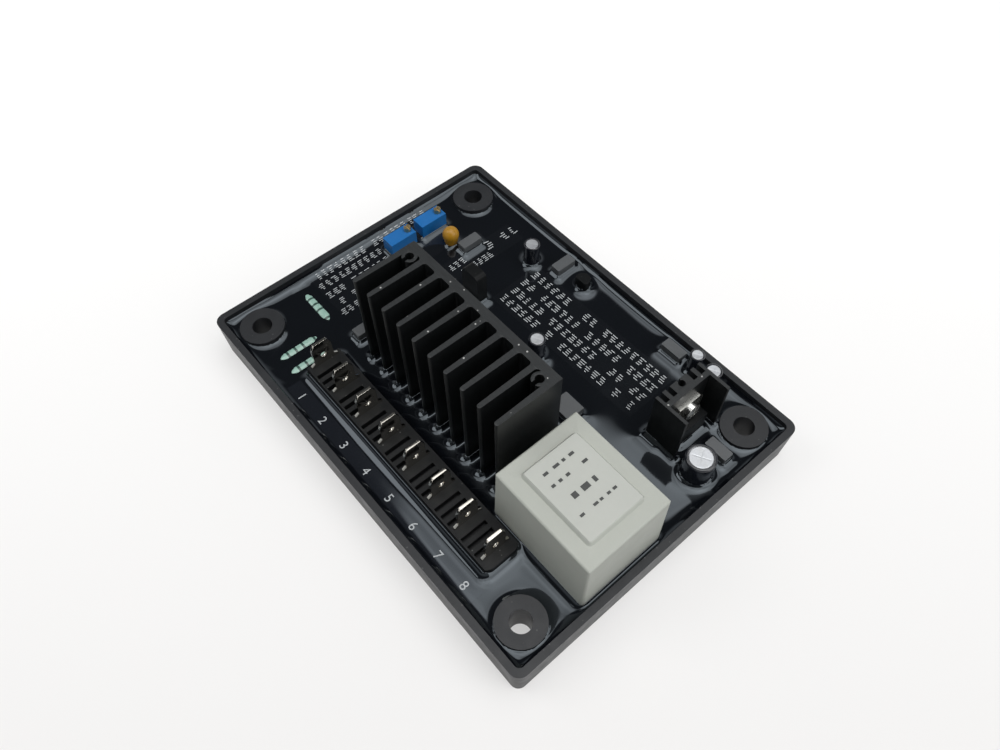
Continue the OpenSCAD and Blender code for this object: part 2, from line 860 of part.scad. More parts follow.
module transformer_pins() {
    for (x = [-1, 1], y = [-1, 1])
        translate([
            transformer_x + x * transformer_pin_pitch / 2,
            transformer_y + y * transformer_pin_pitch / 2,
            0
        ])
            lead(0, transformer_pin_d);
}

// A block that narrows upwards, with rounded top edges and a raised pad on its top
module transformer() {
    top_l = transformer_l - 2 * transformer_draft;
    top_w = transformer_w - 2 * transformer_draft;
    color("#cfcfc8") {
        transformer_pins();
        translate([transformer_x, transformer_y, board_top]) {
            intersection() {
                translate([0, 0, transformer_h])
                    mirror([0, 0, 1])
                        drafted_block(
                            transformer_l,
                            transformer_w,
                            transformer_h,
                            transformer_r,
                            transformer_draft
                        );
                rotate([90, 0, 0])
                    linear_extrude(2 * transformer_w, center = true)
                        top_round_profile(transformer_l, top_l, transformer_h, transformer_top_r);
                rotate([90, 0, 90])
                    linear_extrude(2 * transformer_l, center = true)
                        top_round_profile(transformer_w, top_w, transformer_h, transformer_top_r);
            }
            translate([0, 0, transformer_h + pad_h])
                mirror([0, 0, 1])
                    drafted_block(
                        top_l - 2 * pad_border,
                        top_w - 2 * pad_border,
                        pad_h + eps,
                        transformer_r,
                        pad_draft
                    );
        }
    }
}

// The solder leg of a terminal, from below the board up into the strip
module tab_leg(i) {
    translate([tab_x0 + (i - 1) * tab_pitch, strip_y, 0])
        rotate(90)
            flat_leg(tab_leg_w, tab_t, strip_h);
}

// The stem of a terminal, as high as the strip
module tab_stem(i) {
    translate([tab_x0 + (i - 1) * tab_pitch - tab_t / 2, strip_y - stem_w / 2, board_top])
        cube([tab_t, stem_w, strip_h]);
}

module spade_terminal(i) {
    shoulder = tab_w / 2 + shoulder_w;
    color("#c9b27a") {
        tab_leg(i);
        tab_stem(i);
        translate([tab_x0 + (i - 1) * tab_pitch, strip_y, strip_top])
            rotate([90, 0, 90])
                linear_extrude(tab_t, center = true)
                    difference() {
                        polygon([
                            [-shoulder, 0],
                            [shoulder, 0],
                            [shoulder, shoulder_h / 2],
                            [tab_w / 2, shoulder_h],
                            [tab_w / 2, tab_h - tab_chamfer_h],
                            [tab_w / 2 - tab_chamfer_w, tab_h],
                            [-tab_w / 2 + tab_chamfer_w, tab_h],
                            [-tab_w / 2, tab_h - tab_chamfer_h],
                            [-tab_w / 2, shoulder_h],
                            [-shoulder, shoulder_h / 2]
                        ]);
                        translate([0, tab_hole_z])
                            circle(d = tab_hole_d);
                    }
    }
}

// The moulded strip, without the openings for the terminals
module strip_block() {
    intersection() {
        translate([strip_x0, strip_y, board_top])
            rotate([90, 0, 90])
                linear_extrude(strip_l)
                    polygon([
                        [-strip_w / 2 - strip_draft, 0],
                        [strip_w / 2 + strip_draft, 0],
                        [strip_w / 2, strip_h],
                        [-strip_w / 2, strip_h]
                    ]);
        translate([strip_x0 + strip_l / 2, strip_y, board_top])
            linear_extrude(strip_h)
                union() {
                    rounded_rect(strip_l, strip_w + 2 * strip_draft, strip_end_r);
                    translate([-strip_l / 2, -strip_w / 2 - strip_draft])
                        square([strip_l / 2, strip_w + 2 * strip_draft]);
                }
    }
}

module terminal_strip() {
    color("#232427")
        difference() {
            strip_block();
            for (i = [1:tab_count]) {
                tab_stem(i);
                tab_leg(i);
            }
            for (i = [0:tab_count - 2], k = [0:slot_count - 1])
                translate([
                    tab_x0 + i * tab_pitch + slot_start + k * slot_pitch - slot_w / 2,
                    strip_y - slot_shift - slot_l / 2,
                    strip_top - slot_depth
                ])
                    cube([slot_w, slot_l, slot_depth + eps]);
        }
}

module at_trimmer(i) {
    translate([trimmer_places[i - 1][0], trimmer_places[i - 1][1], 0])
        children();
}

module trimmer_leads(i) {
    at_trimmer(i)
        rotate(90)
            for (k = [-1:1])
                translate([k * trimmer_l / 4, 0, 0])
                    lead(0);
}

// The outside of a trimmer, without its bore
module trimmer_block(i) {
    at_trimmer(i)
        translate([-trimmer_w / 2, -trimmer_l / 2, board_top])
            cube([trimmer_w, trimmer_l, trimmer_h]);
}

module trimmer_body(i) {
    color("#2f86c8") {
        trimmer_leads(i);
        difference() {
            trimmer_block(i);
            at_trimmer(i)
                translate([0, trimmer_l / 2 - adjuster_edge, board_top + trimmer_h - adjuster_depth])
                    cylinder(h = adjuster_depth + eps, d = adjuster_d + 2 * adjuster_clear);
        }
    }
}

// The slotted adjusting screw, which turns in the trimmer's top
module trimmer_screw(i) {
    adjuster_h = adjuster_depth - adjuster_clear + adjuster_stand;
    color("#c8a24a")
        at_trimmer(i)
            translate([0, trimmer_l / 2 - adjuster_edge, board_top + trimmer_h + adjuster_stand - adjuster_h])
                difference() {
                    cylinder(h = adjuster_h, d = adjuster_d);
                    translate([-adjuster_d, -adjuster_slot_w / 2, adjuster_h - adjuster_slot_h])
                        cube([2 * adjuster_d, adjuster_slot_w, adjuster_slot_h + eps]);
                }
}

module drop_leads() {
    translate([drop_place[0], drop_place[1], 0])
        lead_pair(drop_lead_pitch, drop_neck_z);
}

// A dipped drop: a ball that runs down into a blunt neck
module drop_capacitor() {
    neck_r = drop_lead_pitch / 2 + lead_d;
    color("#e0a52c") {
        drop_leads();
        translate([drop_place[0], drop_place[1], board_top])
            rotate_extrude()
                intersection() {
                    union() {
                        translate([0, drop_z])
                            circle(d = drop_d);
                        polygon([
                            [0, drop_neck_z],
                            [neck_r, drop_neck_z],
                            [drop_d / 2 * cos(drop_neck_angle), drop_z - drop_d / 2 * sin(drop_neck_angle)],
                            [0, drop_z]
                        ]);
                    }
                    translate([0, drop_neck_z])
                        square([drop_d, drop_z + drop_d]);
                }
    }
}

module at_film(i) {
    translate([film_places[i - 1][0], film_places[i - 1][1], 0])
        rotate(film_places[i - 1][2])
            children();
}

module film_leads(i) {
    at_film(i)
        lead_pair(film_lead_pitch, 0);
}

module film_capacitor(i) {
    color("#8d9094") {
        film_leads(i);
        at_film(i)
            translate([0, 0, board_top])
                linear_extrude(film_h)
                    rounded_rect(film_l, film_widths[i - 1], film_r);
    }
}

module at_can(i) {
    translate([can_places[i - 1][0], can_places[i - 1][1], board_top])
        children();
}

// The outline of a can from its axis out, with a round top edge
module can_profile(r, h) {
    square([r, h - can_edge_r]);
    square([r - can_edge_r, h]);
    translate([r - can_edge_r, h - can_edge_r])
        circle(can_edge_r);
}

module can_leads(i) {
    at_can(i)
        translate([0, 0, -board_top])
            lead_pair(can_sizes[i - 1][0] / 2, 0);
}

module capacitor_can(i) {
    r = can_sizes[i - 1][0] / 2;
    h = can_sizes[i - 1][1];
    color("#d6d8da") {
        can_leads(i);
        at_can(i)
            rotate_extrude()
                can_profile(r - sleeve_t, h - sleeve_t);
    }
}

// The shrunk sleeve, whose lip closes over the can's top edge
module capacitor_sleeve(i) {
    r = can_sizes[i - 1][0] / 2;
    h = can_sizes[i - 1][1];
    color("#23262c")
        at_can(i)
            rotate_extrude()
                difference() {
                    can_profile(r, h);
                    can_profile(r - sleeve_t, h - sleeve_t);
                    square([r * lip_share, 2 * h]);
                }
}

module clip_pins() {
    for (side = [-1, 1])
        translate([
            clip_place[0] + clip_fin_l + clip_plate_t / 2,
            transistor_y + side * clip_l / 3,
            0
        ])
            lead(0, clip_pin_d);
}

// The small sink's section: two wings, the plate between them, and short fins behind it
module clip_profile() {
    first_slot = (clip_l - clip_slot_w) / 2 - clip_wing_t;
    difference() {
        square([clip_t, clip_l]);
        translate([clip_fin_l + clip_plate_t, clip_wing_t])
            square([clip_t, clip_l - 2 * clip_wing_t]);
        for (side = [-1, 1], k = [0, 1])
            translate([(clip_fin_l - eps) / 2, clip_l / 2 + side * (first_slot - k * clip_slot_pitch)])
                square([clip_fin_l + eps, clip_slot_w], center = true);
        translate([clip_fin_l / 2, clip_l / 2]) {
            circle(d = clip_port_d);
            translate([-clip_fin_l, -clip_port_d / 4])
                square([clip_fin_l, clip_port_d / 2]);
        }
    }
}

module small_heat_sink() {
    color("#1d1f21") {
        clip_pins();
        difference() {
            translate([clip_place[0], clip_place[1], board_top])
                linear_extrude(clip_h)
                    clip_profile();
            transistor_screw();
        }
    }
}

module transistor_legs() {
    leg_x = transistor_x + transistor_tab_t + transistor_leg_t;
    for (i = [-1:1])
        translate([leg_x, transistor_y + i * transistor_leg_pitch, 0])
            rotate(90)
                flat_leg(transistor_leg_w, transistor_leg_t, transistor_top - transistor_tab_h);
}

module transistor_tab() {
    color("#c4c6c8")
        translate([transistor_x, transistor_y, board_top + transistor_top - transistor_tab_h])
            rotate([90, 0, 90])
                linear_extrude(transistor_tab_t)
                    difference() {
                        polygon([
                            [-transistor_w / 2, 0],
                            [transistor_w / 2, 0],
                            [transistor_w / 2, transistor_tab_h - transistor_chamfer],
                            [transistor_w / 2 - transistor_chamfer, transistor_tab_h],
                            [-transistor_w / 2 + transistor_chamfer, transistor_tab_h],
                            [-transistor_w / 2, transistor_tab_h - transistor_chamfer]
                        ]);
                        translate([0, transistor_tab_h - transistor_hole_drop])
                            circle(d = screw_d + 2 * screw_clear);
                    }
}

module transistor_case() {
    color("#202124") {
        transistor_legs();
        translate([
            transistor_x + transistor_tab_t,
            transistor_y - transistor_w / 2,
            board_top + transistor_top - transistor_tab_h
        ])
            cube([transistor_case_t, transistor_w, transistor_tab_h - transistor_bare_h]);
    }
}

module transistor_screw() {
    color("#d0d2d4")
        translate([transistor_x + transistor_tab_t, transistor_y, transistor_hole_z])
            rotate([0, 90, 0])
                pan_screw(screw_d, transistor_tab_t + clip_plate_t, screw_head_d, screw_head_h);
}

module at_resistor(i) {
    translate([resistor_places[i - 1][0], resistor_places[i - 1][1], 0])
        rotate(resistor_places[i - 1][2])
            children();
}

// The upright ends of a resistor's leads
module resistor_leads(i) {
    at_resistor(i)
        lead_pair(resistor_l + 2 * resistor_lead_out, resistor_axis - resistor_bend_r);
}

// A quarter bend in a lead, from along X to downwards
module lead_bend() {
    translate([0, 0, -resistor_bend_r])
        rotate([90, 0, 0])
            rotate_extrude(angle = 90)
                translate([resistor_bend_r, 0])
                    circle(d = lead_d);
}

// A round body with tapered ends, lying just over the board
module resistor(i) {
    straight_l = resistor_l + 2 * (resistor_lead_out - resistor_bend_r);
    color("#8fd6bb") {
        resistor_leads(i);
        at_resistor(i)
            translate([0, 0, board_top + resistor_axis]) {
                rotate([0, 90, 0]) {
                    cylinder(h = straight_l, d = lead_d, center = true);
                    rotate_extrude()
                        polygon([
                            [0, -resistor_l / 2],
                            [resistor_end_d / 2, -resistor_l / 2],
                            [resistor_d / 2, -resistor_l / 2 + resistor_taper_l],
                            [resistor_d / 2, resistor_l / 2 - resistor_taper_l],
                            [resistor_end_d / 2, resistor_l / 2],
                            [0, resistor_l / 2]
                        ]);
                }
                for (side = [0, 1])
                    mirror([side, 0, 0])
                        translate([straight_l / 2, 0, 0])
                            lead_bend();
            }
    }
}

module standing_legs() {
    for (i = [-1:1])
        translate([standing_place[0] + i * transistor_leg_pitch, standing_place[1], 0])
            flat_leg(transistor_leg_w, transistor_leg_t, standing_foot + standing_r);
}

module standing_device() {
    color("#202124") {
        standing_legs();
        translate([standing_place[0], standing_place[1], board_top + (standing_foot + standing_top) / 2])
            rotate([90, 0, 0])
                linear_extrude(standing_t, center = true)
                    rounded_rect(standing_w, standing_top - standing_foot, standing_r);
    }
}

module signal_legs() {
    for (i = [-1:1])
        translate([signal_place[0] + i * signal_d / 4, signal_place[1], 0])
            flat_leg(lead_d, lead_d, signal_foot);
}

// A round case with one flat side
module signal_transistor() {
    color("#202124") {
        signal_legs();
        translate([signal_place[0], signal_place[1], board_top + signal_foot])
            linear_extrude(signal_h)
                intersection() {
                    circle(d = signal_d);
                    translate([-signal_d / 2, signal_d / 2 - signal_t])
                        square([signal_d, signal_t]);
                }
    }
}

tray();
circuit_board();
potting_resin();
legend_strip();
heat_sink();
heat_sink_screws();
power_device();
power_device_screw();
transformer();
terminal_strip();
for (i = [1:tab_count])
    spade_terminal(i);
for (i = [1:TRIMMERS])
    trimmer_body(i);
for (i = [1:TRIMMERS])
    trimmer_screw(i);
drop_capacitor();
for (i = [1:FILMS])
    film_capacitor(i);
for (i = [1:CANS])
    capacitor_can(i);
for (i = [1:CANS])
    capacitor_sleeve(i);
small_heat_sink();
transistor_tab();
transistor_case();
transistor_screw();
for (i = [1:RESISTORS])
    resistor(i);
standing_device();
signal_transistor();
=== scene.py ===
"""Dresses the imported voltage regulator: resin with menisci, printed films, finishes, light and camera."""

import json
import logging
import math
from dataclasses import dataclass, field
from enum import Enum

import bpy
import numpy as np
from mathutils import Matrix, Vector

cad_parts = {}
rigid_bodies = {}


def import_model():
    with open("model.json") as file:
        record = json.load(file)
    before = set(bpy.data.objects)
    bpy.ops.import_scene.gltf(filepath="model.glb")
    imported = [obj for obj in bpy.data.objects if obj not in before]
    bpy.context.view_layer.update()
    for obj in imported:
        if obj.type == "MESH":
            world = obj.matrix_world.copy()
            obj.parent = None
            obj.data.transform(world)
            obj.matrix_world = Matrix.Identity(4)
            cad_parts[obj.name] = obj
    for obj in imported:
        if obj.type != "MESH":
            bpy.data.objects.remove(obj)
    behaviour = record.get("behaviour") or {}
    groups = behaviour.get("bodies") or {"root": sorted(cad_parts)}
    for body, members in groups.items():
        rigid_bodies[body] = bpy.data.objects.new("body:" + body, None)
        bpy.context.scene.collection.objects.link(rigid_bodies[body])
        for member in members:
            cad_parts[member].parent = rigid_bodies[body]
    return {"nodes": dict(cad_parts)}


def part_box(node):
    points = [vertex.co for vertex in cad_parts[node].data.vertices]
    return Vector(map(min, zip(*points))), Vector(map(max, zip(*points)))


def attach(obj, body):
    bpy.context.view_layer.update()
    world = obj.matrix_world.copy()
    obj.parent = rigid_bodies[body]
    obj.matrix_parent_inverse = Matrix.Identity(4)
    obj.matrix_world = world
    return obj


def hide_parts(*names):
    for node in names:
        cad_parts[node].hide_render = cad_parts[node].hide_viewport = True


for leftover in list(bpy.data.objects):
    bpy.data.objects.remove(leftover)
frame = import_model()

LOG = logging.getLogger("regulator")
MM = 0.001
HOUSING = "housing"
# Most values of a noise lie in this span.
CLOUD_SPAN = (0.3, 0.7)
WELD_GAP = 0.002 * MM
EDGE_SEGMENTS = 2
EDGE_ANGLE = math.radians(42)

Colour = tuple[float, float, float]
Triple = tuple[float, float, float]
Span = tuple[float, float]
Socket = bpy.types.NodeSocket


class Axis(Enum):
    """The axis along which a pattern runs."""

    X = 0
    Y = 1
    Z = 2


class Sketch:
    """A short way to write a node tree: each call places one node and wires its inputs."""

    def __init__(self, tree: bpy.types.NodeTree) -> None:
        """Keeps the tree that the nodes go into.

        Args:
            tree: A material's, world's or group's node tree.
        """
        self.tree = tree

    def feed(self, socket: Socket, value: object) -> None:
        """Wires an input, or sets it.

        Args:
            socket: The input.
            value: Another socket, a number, a vector or a colour.
        """
        if isinstance(value, Socket):
            self.tree.links.new(value, socket)
        else:
            socket.default_value = (*value, 1.0) if socket.type == "RGBA" else value

    def put(self, kind: str, inputs: dict | None = None, **settings: object) -> bpy.types.Node:
        """Places a node.

        Args:
            kind: The node's type, without the leading ShaderNode.
            inputs: Values or sockets by input name or number.
            **settings: Attributes of the node.

        Returns:
            The new node.
        """
        node = self.tree.nodes.new(kind if kind.startswith("Node") else "ShaderNode" + kind)
        for name, value in settings.items():
            setattr(node, name, value)
        for key, value in (inputs or {}).items():
            self.feed(node.inputs[key], value)
        return node

    def coordinates(self) -> Socket:
        """The piece's Object coordinates."""
        return self.put("TexCoord").outputs["Object"]

    def math(self, operation: str, *values: object) -> Socket:
        """One arithmetic step.

        Args:
            operation: The Math node's operation.
            *values: Its inputs, numbers or sockets.

        Returns:
            The result's socket.
        """
        return self.put("Math", dict(enumerate(values)), operation=operation).outputs[0]

    def noise(self, vector: Socket, scale: object, detail: float = 3.0) -> Socket:
        """A cloud of values from 0 to 1.

        Args:
            vector: Where it is read.
            scale: Clouds per metre.
            detail: Octaves.

        Returns:
            The value's socket.
        """
        return self.put("TexNoise", {"Vector": vector, "Scale": scale, "Detail": detail}).outputs["Fac"]

    def spread(self, value: object, low: float, high: float, to_low: object, to_high: object) -> Socket:
        """Maps one span of values onto another, kept inside it.

        Args:
            value: What is mapped.
            low: Start of the span.
            high: End of the span.
            to_low: Result at its start.
            to_high: Result at its end.

        Returns:
            The result's socket.
        """
        keys = ("Value", "From Min", "From Max", "To Min", "To Max")
        return self.put("MapRange", dict(zip(keys, (value, low, high, to_low, to_high)))).outputs[0]

    def sway(self, cloud: Socket, to_low: object, to_high: object) -> Socket:
        """Maps the values that a cloud mostly has onto a span.

        Args:
            cloud: A noise.
            to_low: Result where it is thin.
            to_high: Result where it is dense.

        Returns:
            The result's socket.
        """
        return self.spread(cloud, *CLOUD_SPAN, to_low, to_high)

    def upward(self, low: float, high: float) -> Socket:
        """A mask of the faces that look upwards.

        Args:
            low: The normal's Z up to which it is 0.
            high: The normal's Z from which it is 1.

        Returns:
            The mask's socket.
        """
        normal = self.put("NewGeometry").outputs["Normal"]
        return self.spread(self.put("SeparateXYZ", {0: normal}).outputs["Z"], low, high, 0.0, 1.0)

    def shade(self, colour: object, value: Socket) -> Socket:
        """Makes a colour lighter or darker.

        Args:
            colour: Colour or socket.
            value: What its brightness is multiplied by.

        Returns:
            The colour's socket.
        """
        return self.put("HueSaturation", {"Color": colour, "Value": value}).outputs[0]

    def blend(self, share: object, first: object, second: object) -> Socket:
        """Goes from one colour to another.

        Args:
            share: 0 for the first, 1 for the second.
            first: Colour or socket.
            second: Colour or socket.

        Returns:
            The colour's socket.
        """
        node = self.put("Mix", {0: share}, data_type="RGBA")
        for socket, value in zip([s for s in node.inputs if s.type == "RGBA"], (first, second)):
            self.feed(socket, value)
        return next(s for s in node.outputs if s.type == "RGBA")


class Effect(Enum):
    """Effects that several finishes share, each a node group with one output."""

    MOTTLE = "mottle"
    GRAIN = "grain"
    DUST = "dust"
    DRAWN = "drawn_lines"
    ROUGH = "rough_drift"
    STAIN = "stain"
    RIPPLE = "ripple"

    def group(self) -> bpy.types.NodeTree:
        """The node group of this effect, made when it is first asked for."""
        found = bpy.data.node_groups.get(self.value)
        return found or getattr(self, "_" + self.value)()

    def _start(self, output: str, **inputs: float) -> tuple[Sketch, dict[str, Socket]]:
        """Makes a group with named sockets and nothing between them.

        Args:
            output: Name of its output.
            **inputs: Each value input with what it is at first.

        Returns:
            The sketch, and the input sockets by name.
        """
        tree = bpy.data.node_groups.new(self.value, "ShaderNodeTree")
        for name, value in inputs.items():
            socket = tree.interface.new_socket(name, in_out="INPUT", socket_type="NodeSocketFloat")
            socket.default_value = value
        tree.interface.new_socket(output, in_out="OUTPUT", socket_type="NodeSocketFloat")
        sketch = Sketch(tree)
        return sketch, {s.name: s for s in sketch.put("NodeGroupInput").outputs if s.name}

    def _close(self, sketch: Sketch, value: Socket) -> bpy.types.NodeTree:
        """Wires a value to the group's output and hands back the group."""
        sketch.put("NodeGroupOutput", {0: value})
        return sketch.tree

    def _mottle(self) -> bpy.types.NodeTree:
        """Brightness that drifts over a surface: coarse clouds with finer ones laid over them."""
        sketch, given = self._start("Value", Scale=120.0, Amount=0.1)
        finer, fine_share, gain = 9.0, 0.35, 4.0
        place = sketch.coordinates()
        coarse = sketch.noise(place, given["Scale"], detail=4.0)
        fine = sketch.noise(place, sketch.math("MULTIPLY", given["Scale"], finer), detail=2.0)
        base = sketch.math("MULTIPLY", coarse, 1 - fine_share)
        both = sketch.math("MULTIPLY_ADD", fine, fine_share, base)
        swing = sketch.math("MULTIPLY", sketch.math("SUBTRACT", both, 0.5), gain)
        return self._close(sketch, sketch.math("MULTIPLY_ADD", swing, given["Amount"], 1.0))

    def _grain(self) -> bpy.types.NodeTree:
        """The height of a spark-eroded mould face: small pits of two sizes."""
        sketch, given = self._start("Height", Scale=2500.0)
        coarser = 0.4
        place = sketch.coordinates()
        pits = sketch.put("TexVoronoi", {"Vector": place, "Scale": given["Scale"]}).outputs["Distance"]
        haze = sketch.noise(place, sketch.math("MULTIPLY", given["Scale"], coarser), detail=2.0)
        return self._close(sketch, sketch.math("ADD", pits, haze))

    def _dust(self) -> bpy.types.NodeTree:
        """Specks in a few of a surface's cells, where it looks upwards."""
        sketch, given = self._start("Mask", Scale=900.0, Amount=0.5)
        core, rim, empty_share = 0.12, 0.2, 0.82
        cells = sketch.put("TexVoronoi", {"Vector": sketch.coordinates(), "Scale": given["Scale"]})
        tone = sketch.put("SeparateColor", {0: cells.outputs["Color"]}).outputs[0]
        speck = sketch.spread(cells.outputs["Distance"], core, rim, 1.0, 0.0)
        rare = sketch.math("GREATER_THAN", tone, empty_share)
        mask = sketch.math("MULTIPLY", sketch.math("MULTIPLY", speck, rare), sketch.upward(0.6, 0.95))
        return self._close(sketch, sketch.math("MULTIPLY", mask, given["Amount"]))

    def _drawn_lines(self) -> bpy.types.NodeTree:
        """Fine lines along one axis, from noise that is stretched along it."""
        sketch, given = self._start("Value", X=2000.0, Y=2000.0, Z=30.0)
        scale = sketch.put("CombineXYZ", given).outputs[0]
        place = sketch.put("VectorMath", {0: sketch.coordinates(), 1: scale}, operation="MULTIPLY")
        return self._close(sketch, sketch.noise(place.outputs[0], 1.0))

    def _rough_drift(self) -> bpy.types.NodeTree:
        """Roughness that wanders in clouds from a low to a high value."""
        sketch, given = self._start("Roughness", Scale=270.0, Low=0.4, High=0.5)
        cloud = sketch.noise(sketch.coordinates(), given["Scale"])
        return self._close(sketch, sketch.sway(cloud, given["Low"], given["High"]))

    def _stain(self) -> bpy.types.NodeTree:
        """Stains where a cloud is dense."""
        sketch, given = self._start("Mask", Scale=260.0, Amount=0.35)
        thin, dense = 0.5, 0.75
        cloud = sketch.noise(sketch.coordinates(), given["Scale"], detail=5.0)
        return self._close(sketch, sketch.spread(cloud, thin, dense, 0.0, given["Amount"]))

    def _ripple(self) -> bpy.types.NodeTree:
        """The height of slow ripples in a set surface."""
        sketch, given = self._start("Height", Scale=110.0)
        return self._close(sketch, sketch.noise(sketch.coordinates(), given["Scale"], detail=1.0))


@dataclass(frozen=True)
class Finish:
    """What every finish has: a name, a colour, how rough it is and how far its tone drifts."""

    name: str
    colour: Colour
    roughness: float = 0.5
    drift: float = 0.08
    drift_scale: float = 90.0
    rough_swing: float = 0.12
    rough_finer: float = 3.0

    def material(self) -> bpy.types.Material:
        """The finish's material, made when it is first asked for."""
        found = bpy.data.materials.get(self.name)
        if found:
            return found
        made = bpy.data.materials.new(self.name)
        made.use_nodes = True
        made.node_tree.nodes.clear()
        sketch = Sketch(made.node_tree)
        sketch.put("OutputMaterial", {"Surface": self.shader(sketch)})
        return made

    def effect(self, sketch: Sketch, effect: Effect, **values: object) -> Socket:
        """Places a shared effect.

        Args:
            sketch: The material's sketch.
            effect: Which effect.
            **values: The group's inputs.

        Returns:
            The effect's one output.
        """
        return sketch.put("Group", values, node_tree=effect.group()).outputs[0]

    def lines(self, sketch: Sketch, scales: Triple) -> Socket:
        """Places drawn lines.

        Args:
            sketch: The material's sketch.
            scales: Lines per metre along each axis.

        Returns:
            The lines' socket.
        """
        return self.effect(sketch, Effect.DRAWN, **dict(zip("XYZ", scales)))

    def tone(self, sketch: Sketch, colour: object) -> Socket:
        """A colour whose brightness drifts.

        Args:
            sketch: The material's sketch.
            colour: Colour or socket.

        Returns:
            The colour's socket.
        """
        value = self.effect(sketch, Effect.MOTTLE, Scale=self.drift_scale, Amount=self.drift)
        return sketch.shade(colour, value)

    def rough(self, sketch: Sketch) -> Socket:
        """A roughness that drifts round the finish's own, in finer clouds than its tone.

        Args:
            sketch: The material's sketch.

        Returns:
            The roughness's socket.
        """
        low, high = (self.roughness * (1 + side * self.rough_swing) for side in (-1, 1))
        scale = self.drift_scale * self.rough_finer
        return self.effect(sketch, Effect.ROUGH, Scale=scale, Low=low, High=high)

    def bump(self, sketch: Sketch, height: Socket, strength: float, depth: float) -> Socket:
        """Turns a height into a normal.

        Args:
            sketch: The material's sketch.
            height: The height, from 0 to about 1.
            strength: Share of the bump that shows.
            depth: What a height of 1 stands for, in millimetres.

        Returns:
            The normal's socket.
        """
        inputs = {"Height": height, "Strength": strength, "Distance": depth * MM}
        return sketch.put("Bump", inputs).outputs[0]

    def shader(self, sketch: Sketch) -> Socket:
        """Builds the finish's shader.

        Args:
            sketch: The material's sketch.

        Returns:
            The shader's socket.
        """
        raise NotImplementedError


@dataclass(frozen=True)
class MouldedPlastic(Finish):
    """Moulded plastic with the grain of its mould, a little dust on top, and a paler pad above a level."""

    grain_scale: float = 2500.0
    grain_depth: float = 0.02
    grain_strength: float = 0.35
    dust: float = 0.0
    speck: Colour = (0.55, 0.55, 0.53)
    gloss: float = 0.5
    coat: float = 0.0
    coat_roughness: float = 0.08
    pad_z: float = 0.0
    pad_edge: float = 0.3
    pad: Colour = (0.0, 0.0, 0.0)

    def shader(self, sketch: Sketch) -> Socket:
        """Builds the finish's shader.

        Args:
            sketch: The material's sketch.

        Returns:
            The shader's socket.
        """
        height = self.effect(sketch, Effect.GRAIN, Scale=self.grain_scale)
        base: object = self.colour
        if self.pad_z:
            over = sketch.put("SeparateXYZ", {0: sketch.coordinates()}).outputs["Z"]
            share = sketch.spread(over, (self.pad_z - self.pad_edge) * MM, self.pad_z * MM, 0.0, 1.0)
            base = sketch.blend(share, self.colour, self.pad)
        colour = self.tone(sketch, base)
        if self.dust:
            mask = self.effect(sketch, Effect.DUST, Amount=self.dust)
            colour = sketch.blend(mask, colour, self.speck)
        inputs = {
            "Base Color": colour,
            "Roughness": self.rough(sketch),
            "Normal": self.bump(sketch, height, self.grain_strength, self.grain_depth),
            "Specular IOR Level": self.gloss,
            "Coat Weight": self.coat,
            "Coat Roughness": self.coat_roughness,
        }
        return sketch.put("BsdfPrincipled", inputs).outputs[0]


@dataclass(frozen=True)
class AnodisedExtrusion(Finish):
    """Black anodised aluminium: drawn lines up its sides, and pale sawn ends."""

    drawn: Triple = (2600.0, 2600.0, 25.0)
    drawn_swing: Span = (0.75, 1.3)
    sawn: Colour = (0.017, 0.0188, 0.0198)
    sawn_roughness: float = 0.5
    sawn_swing: Span = (0.75, 1.25)
    teeth: Triple = (300.0, 4200.0, 300.0)
    line_depth: float = 0.02
    line_strength: float = 0.25
    speck: Colour = (0.6, 0.6, 0.58)
    speck_scale: float = 700.0
    dust: float = 0.7
    gloss: float = 0.35

    def shader(self, sketch: Sketch) -> Socket:
        """Builds the finish's shader.

        Args:
            sketch: The material's sketch.

        Returns:
            The shader's socket.
        """
        drawn, teeth = self.lines(sketch, self.drawn), self.lines(sketch, self.teeth)
        end = sketch.upward(0.8, 0.97)
        side = sketch.shade(self.colour, sketch.sway(drawn, *self.drawn_swing))
        top = sketch.shade(self.sawn, sketch.sway(teeth, *self.sawn_swing))
        colour = sketch.blend(end, side, self.tone(sketch, top))
        mask = self.effect(sketch, Effect.DUST, Scale=self.speck_scale, Amount=self.dust)
        height = sketch.math("ADD", drawn, teeth)
        inputs = {
            "Base Color": sketch.blend(mask, colour, self.speck),
            "Roughness": sketch.spread(end, 0.0, 1.0, self.roughness, self.sawn_roughness),
            "Normal": self.bump(sketch, height, self.line_strength, self.line_depth),
            "Specular IOR Level": self.gloss,
        }
        return sketch.put("BsdfPrincipled", inputs).outputs[0]


@dataclass(frozen=True)
class PlatedMetal(Finish):
    """Bright metal with fine rolling or turning lines up it, and faint stains."""

    drawn: Triple = (3000.0, 3000.0, 60.0)
    line_depth: float = 0.01
    line_strength: float = 0.2
    line_swing: Span = (0.8, 1.25)
    stain: Colour = (0.3, 0.27, 0.2)
    stained: float = 0.35

    def shader(self, sketch: Sketch) -> Socket:
        """Builds the finish's shader.

        Args:
            sketch: The material's sketch.

        Returns:
            The shader's socket.
        """
        drawn = self.lines(sketch, self.drawn)
        stain = self.effect(sketch, Effect.STAIN, Amount=self.stained)
        inputs = {
            "Base Color": sketch.blend(stain, self.tone(sketch, self.colour), self.stain),
            "Metallic": 1.0,
            "Roughness": sketch.sway(drawn, *(self.roughness * share for share in self.line_swing)),
            "Normal": self.bump(sketch, drawn, self.line_strength, self.line_depth),
        }
        return sketch.put("BsdfPrincipled", inputs).outputs[0]


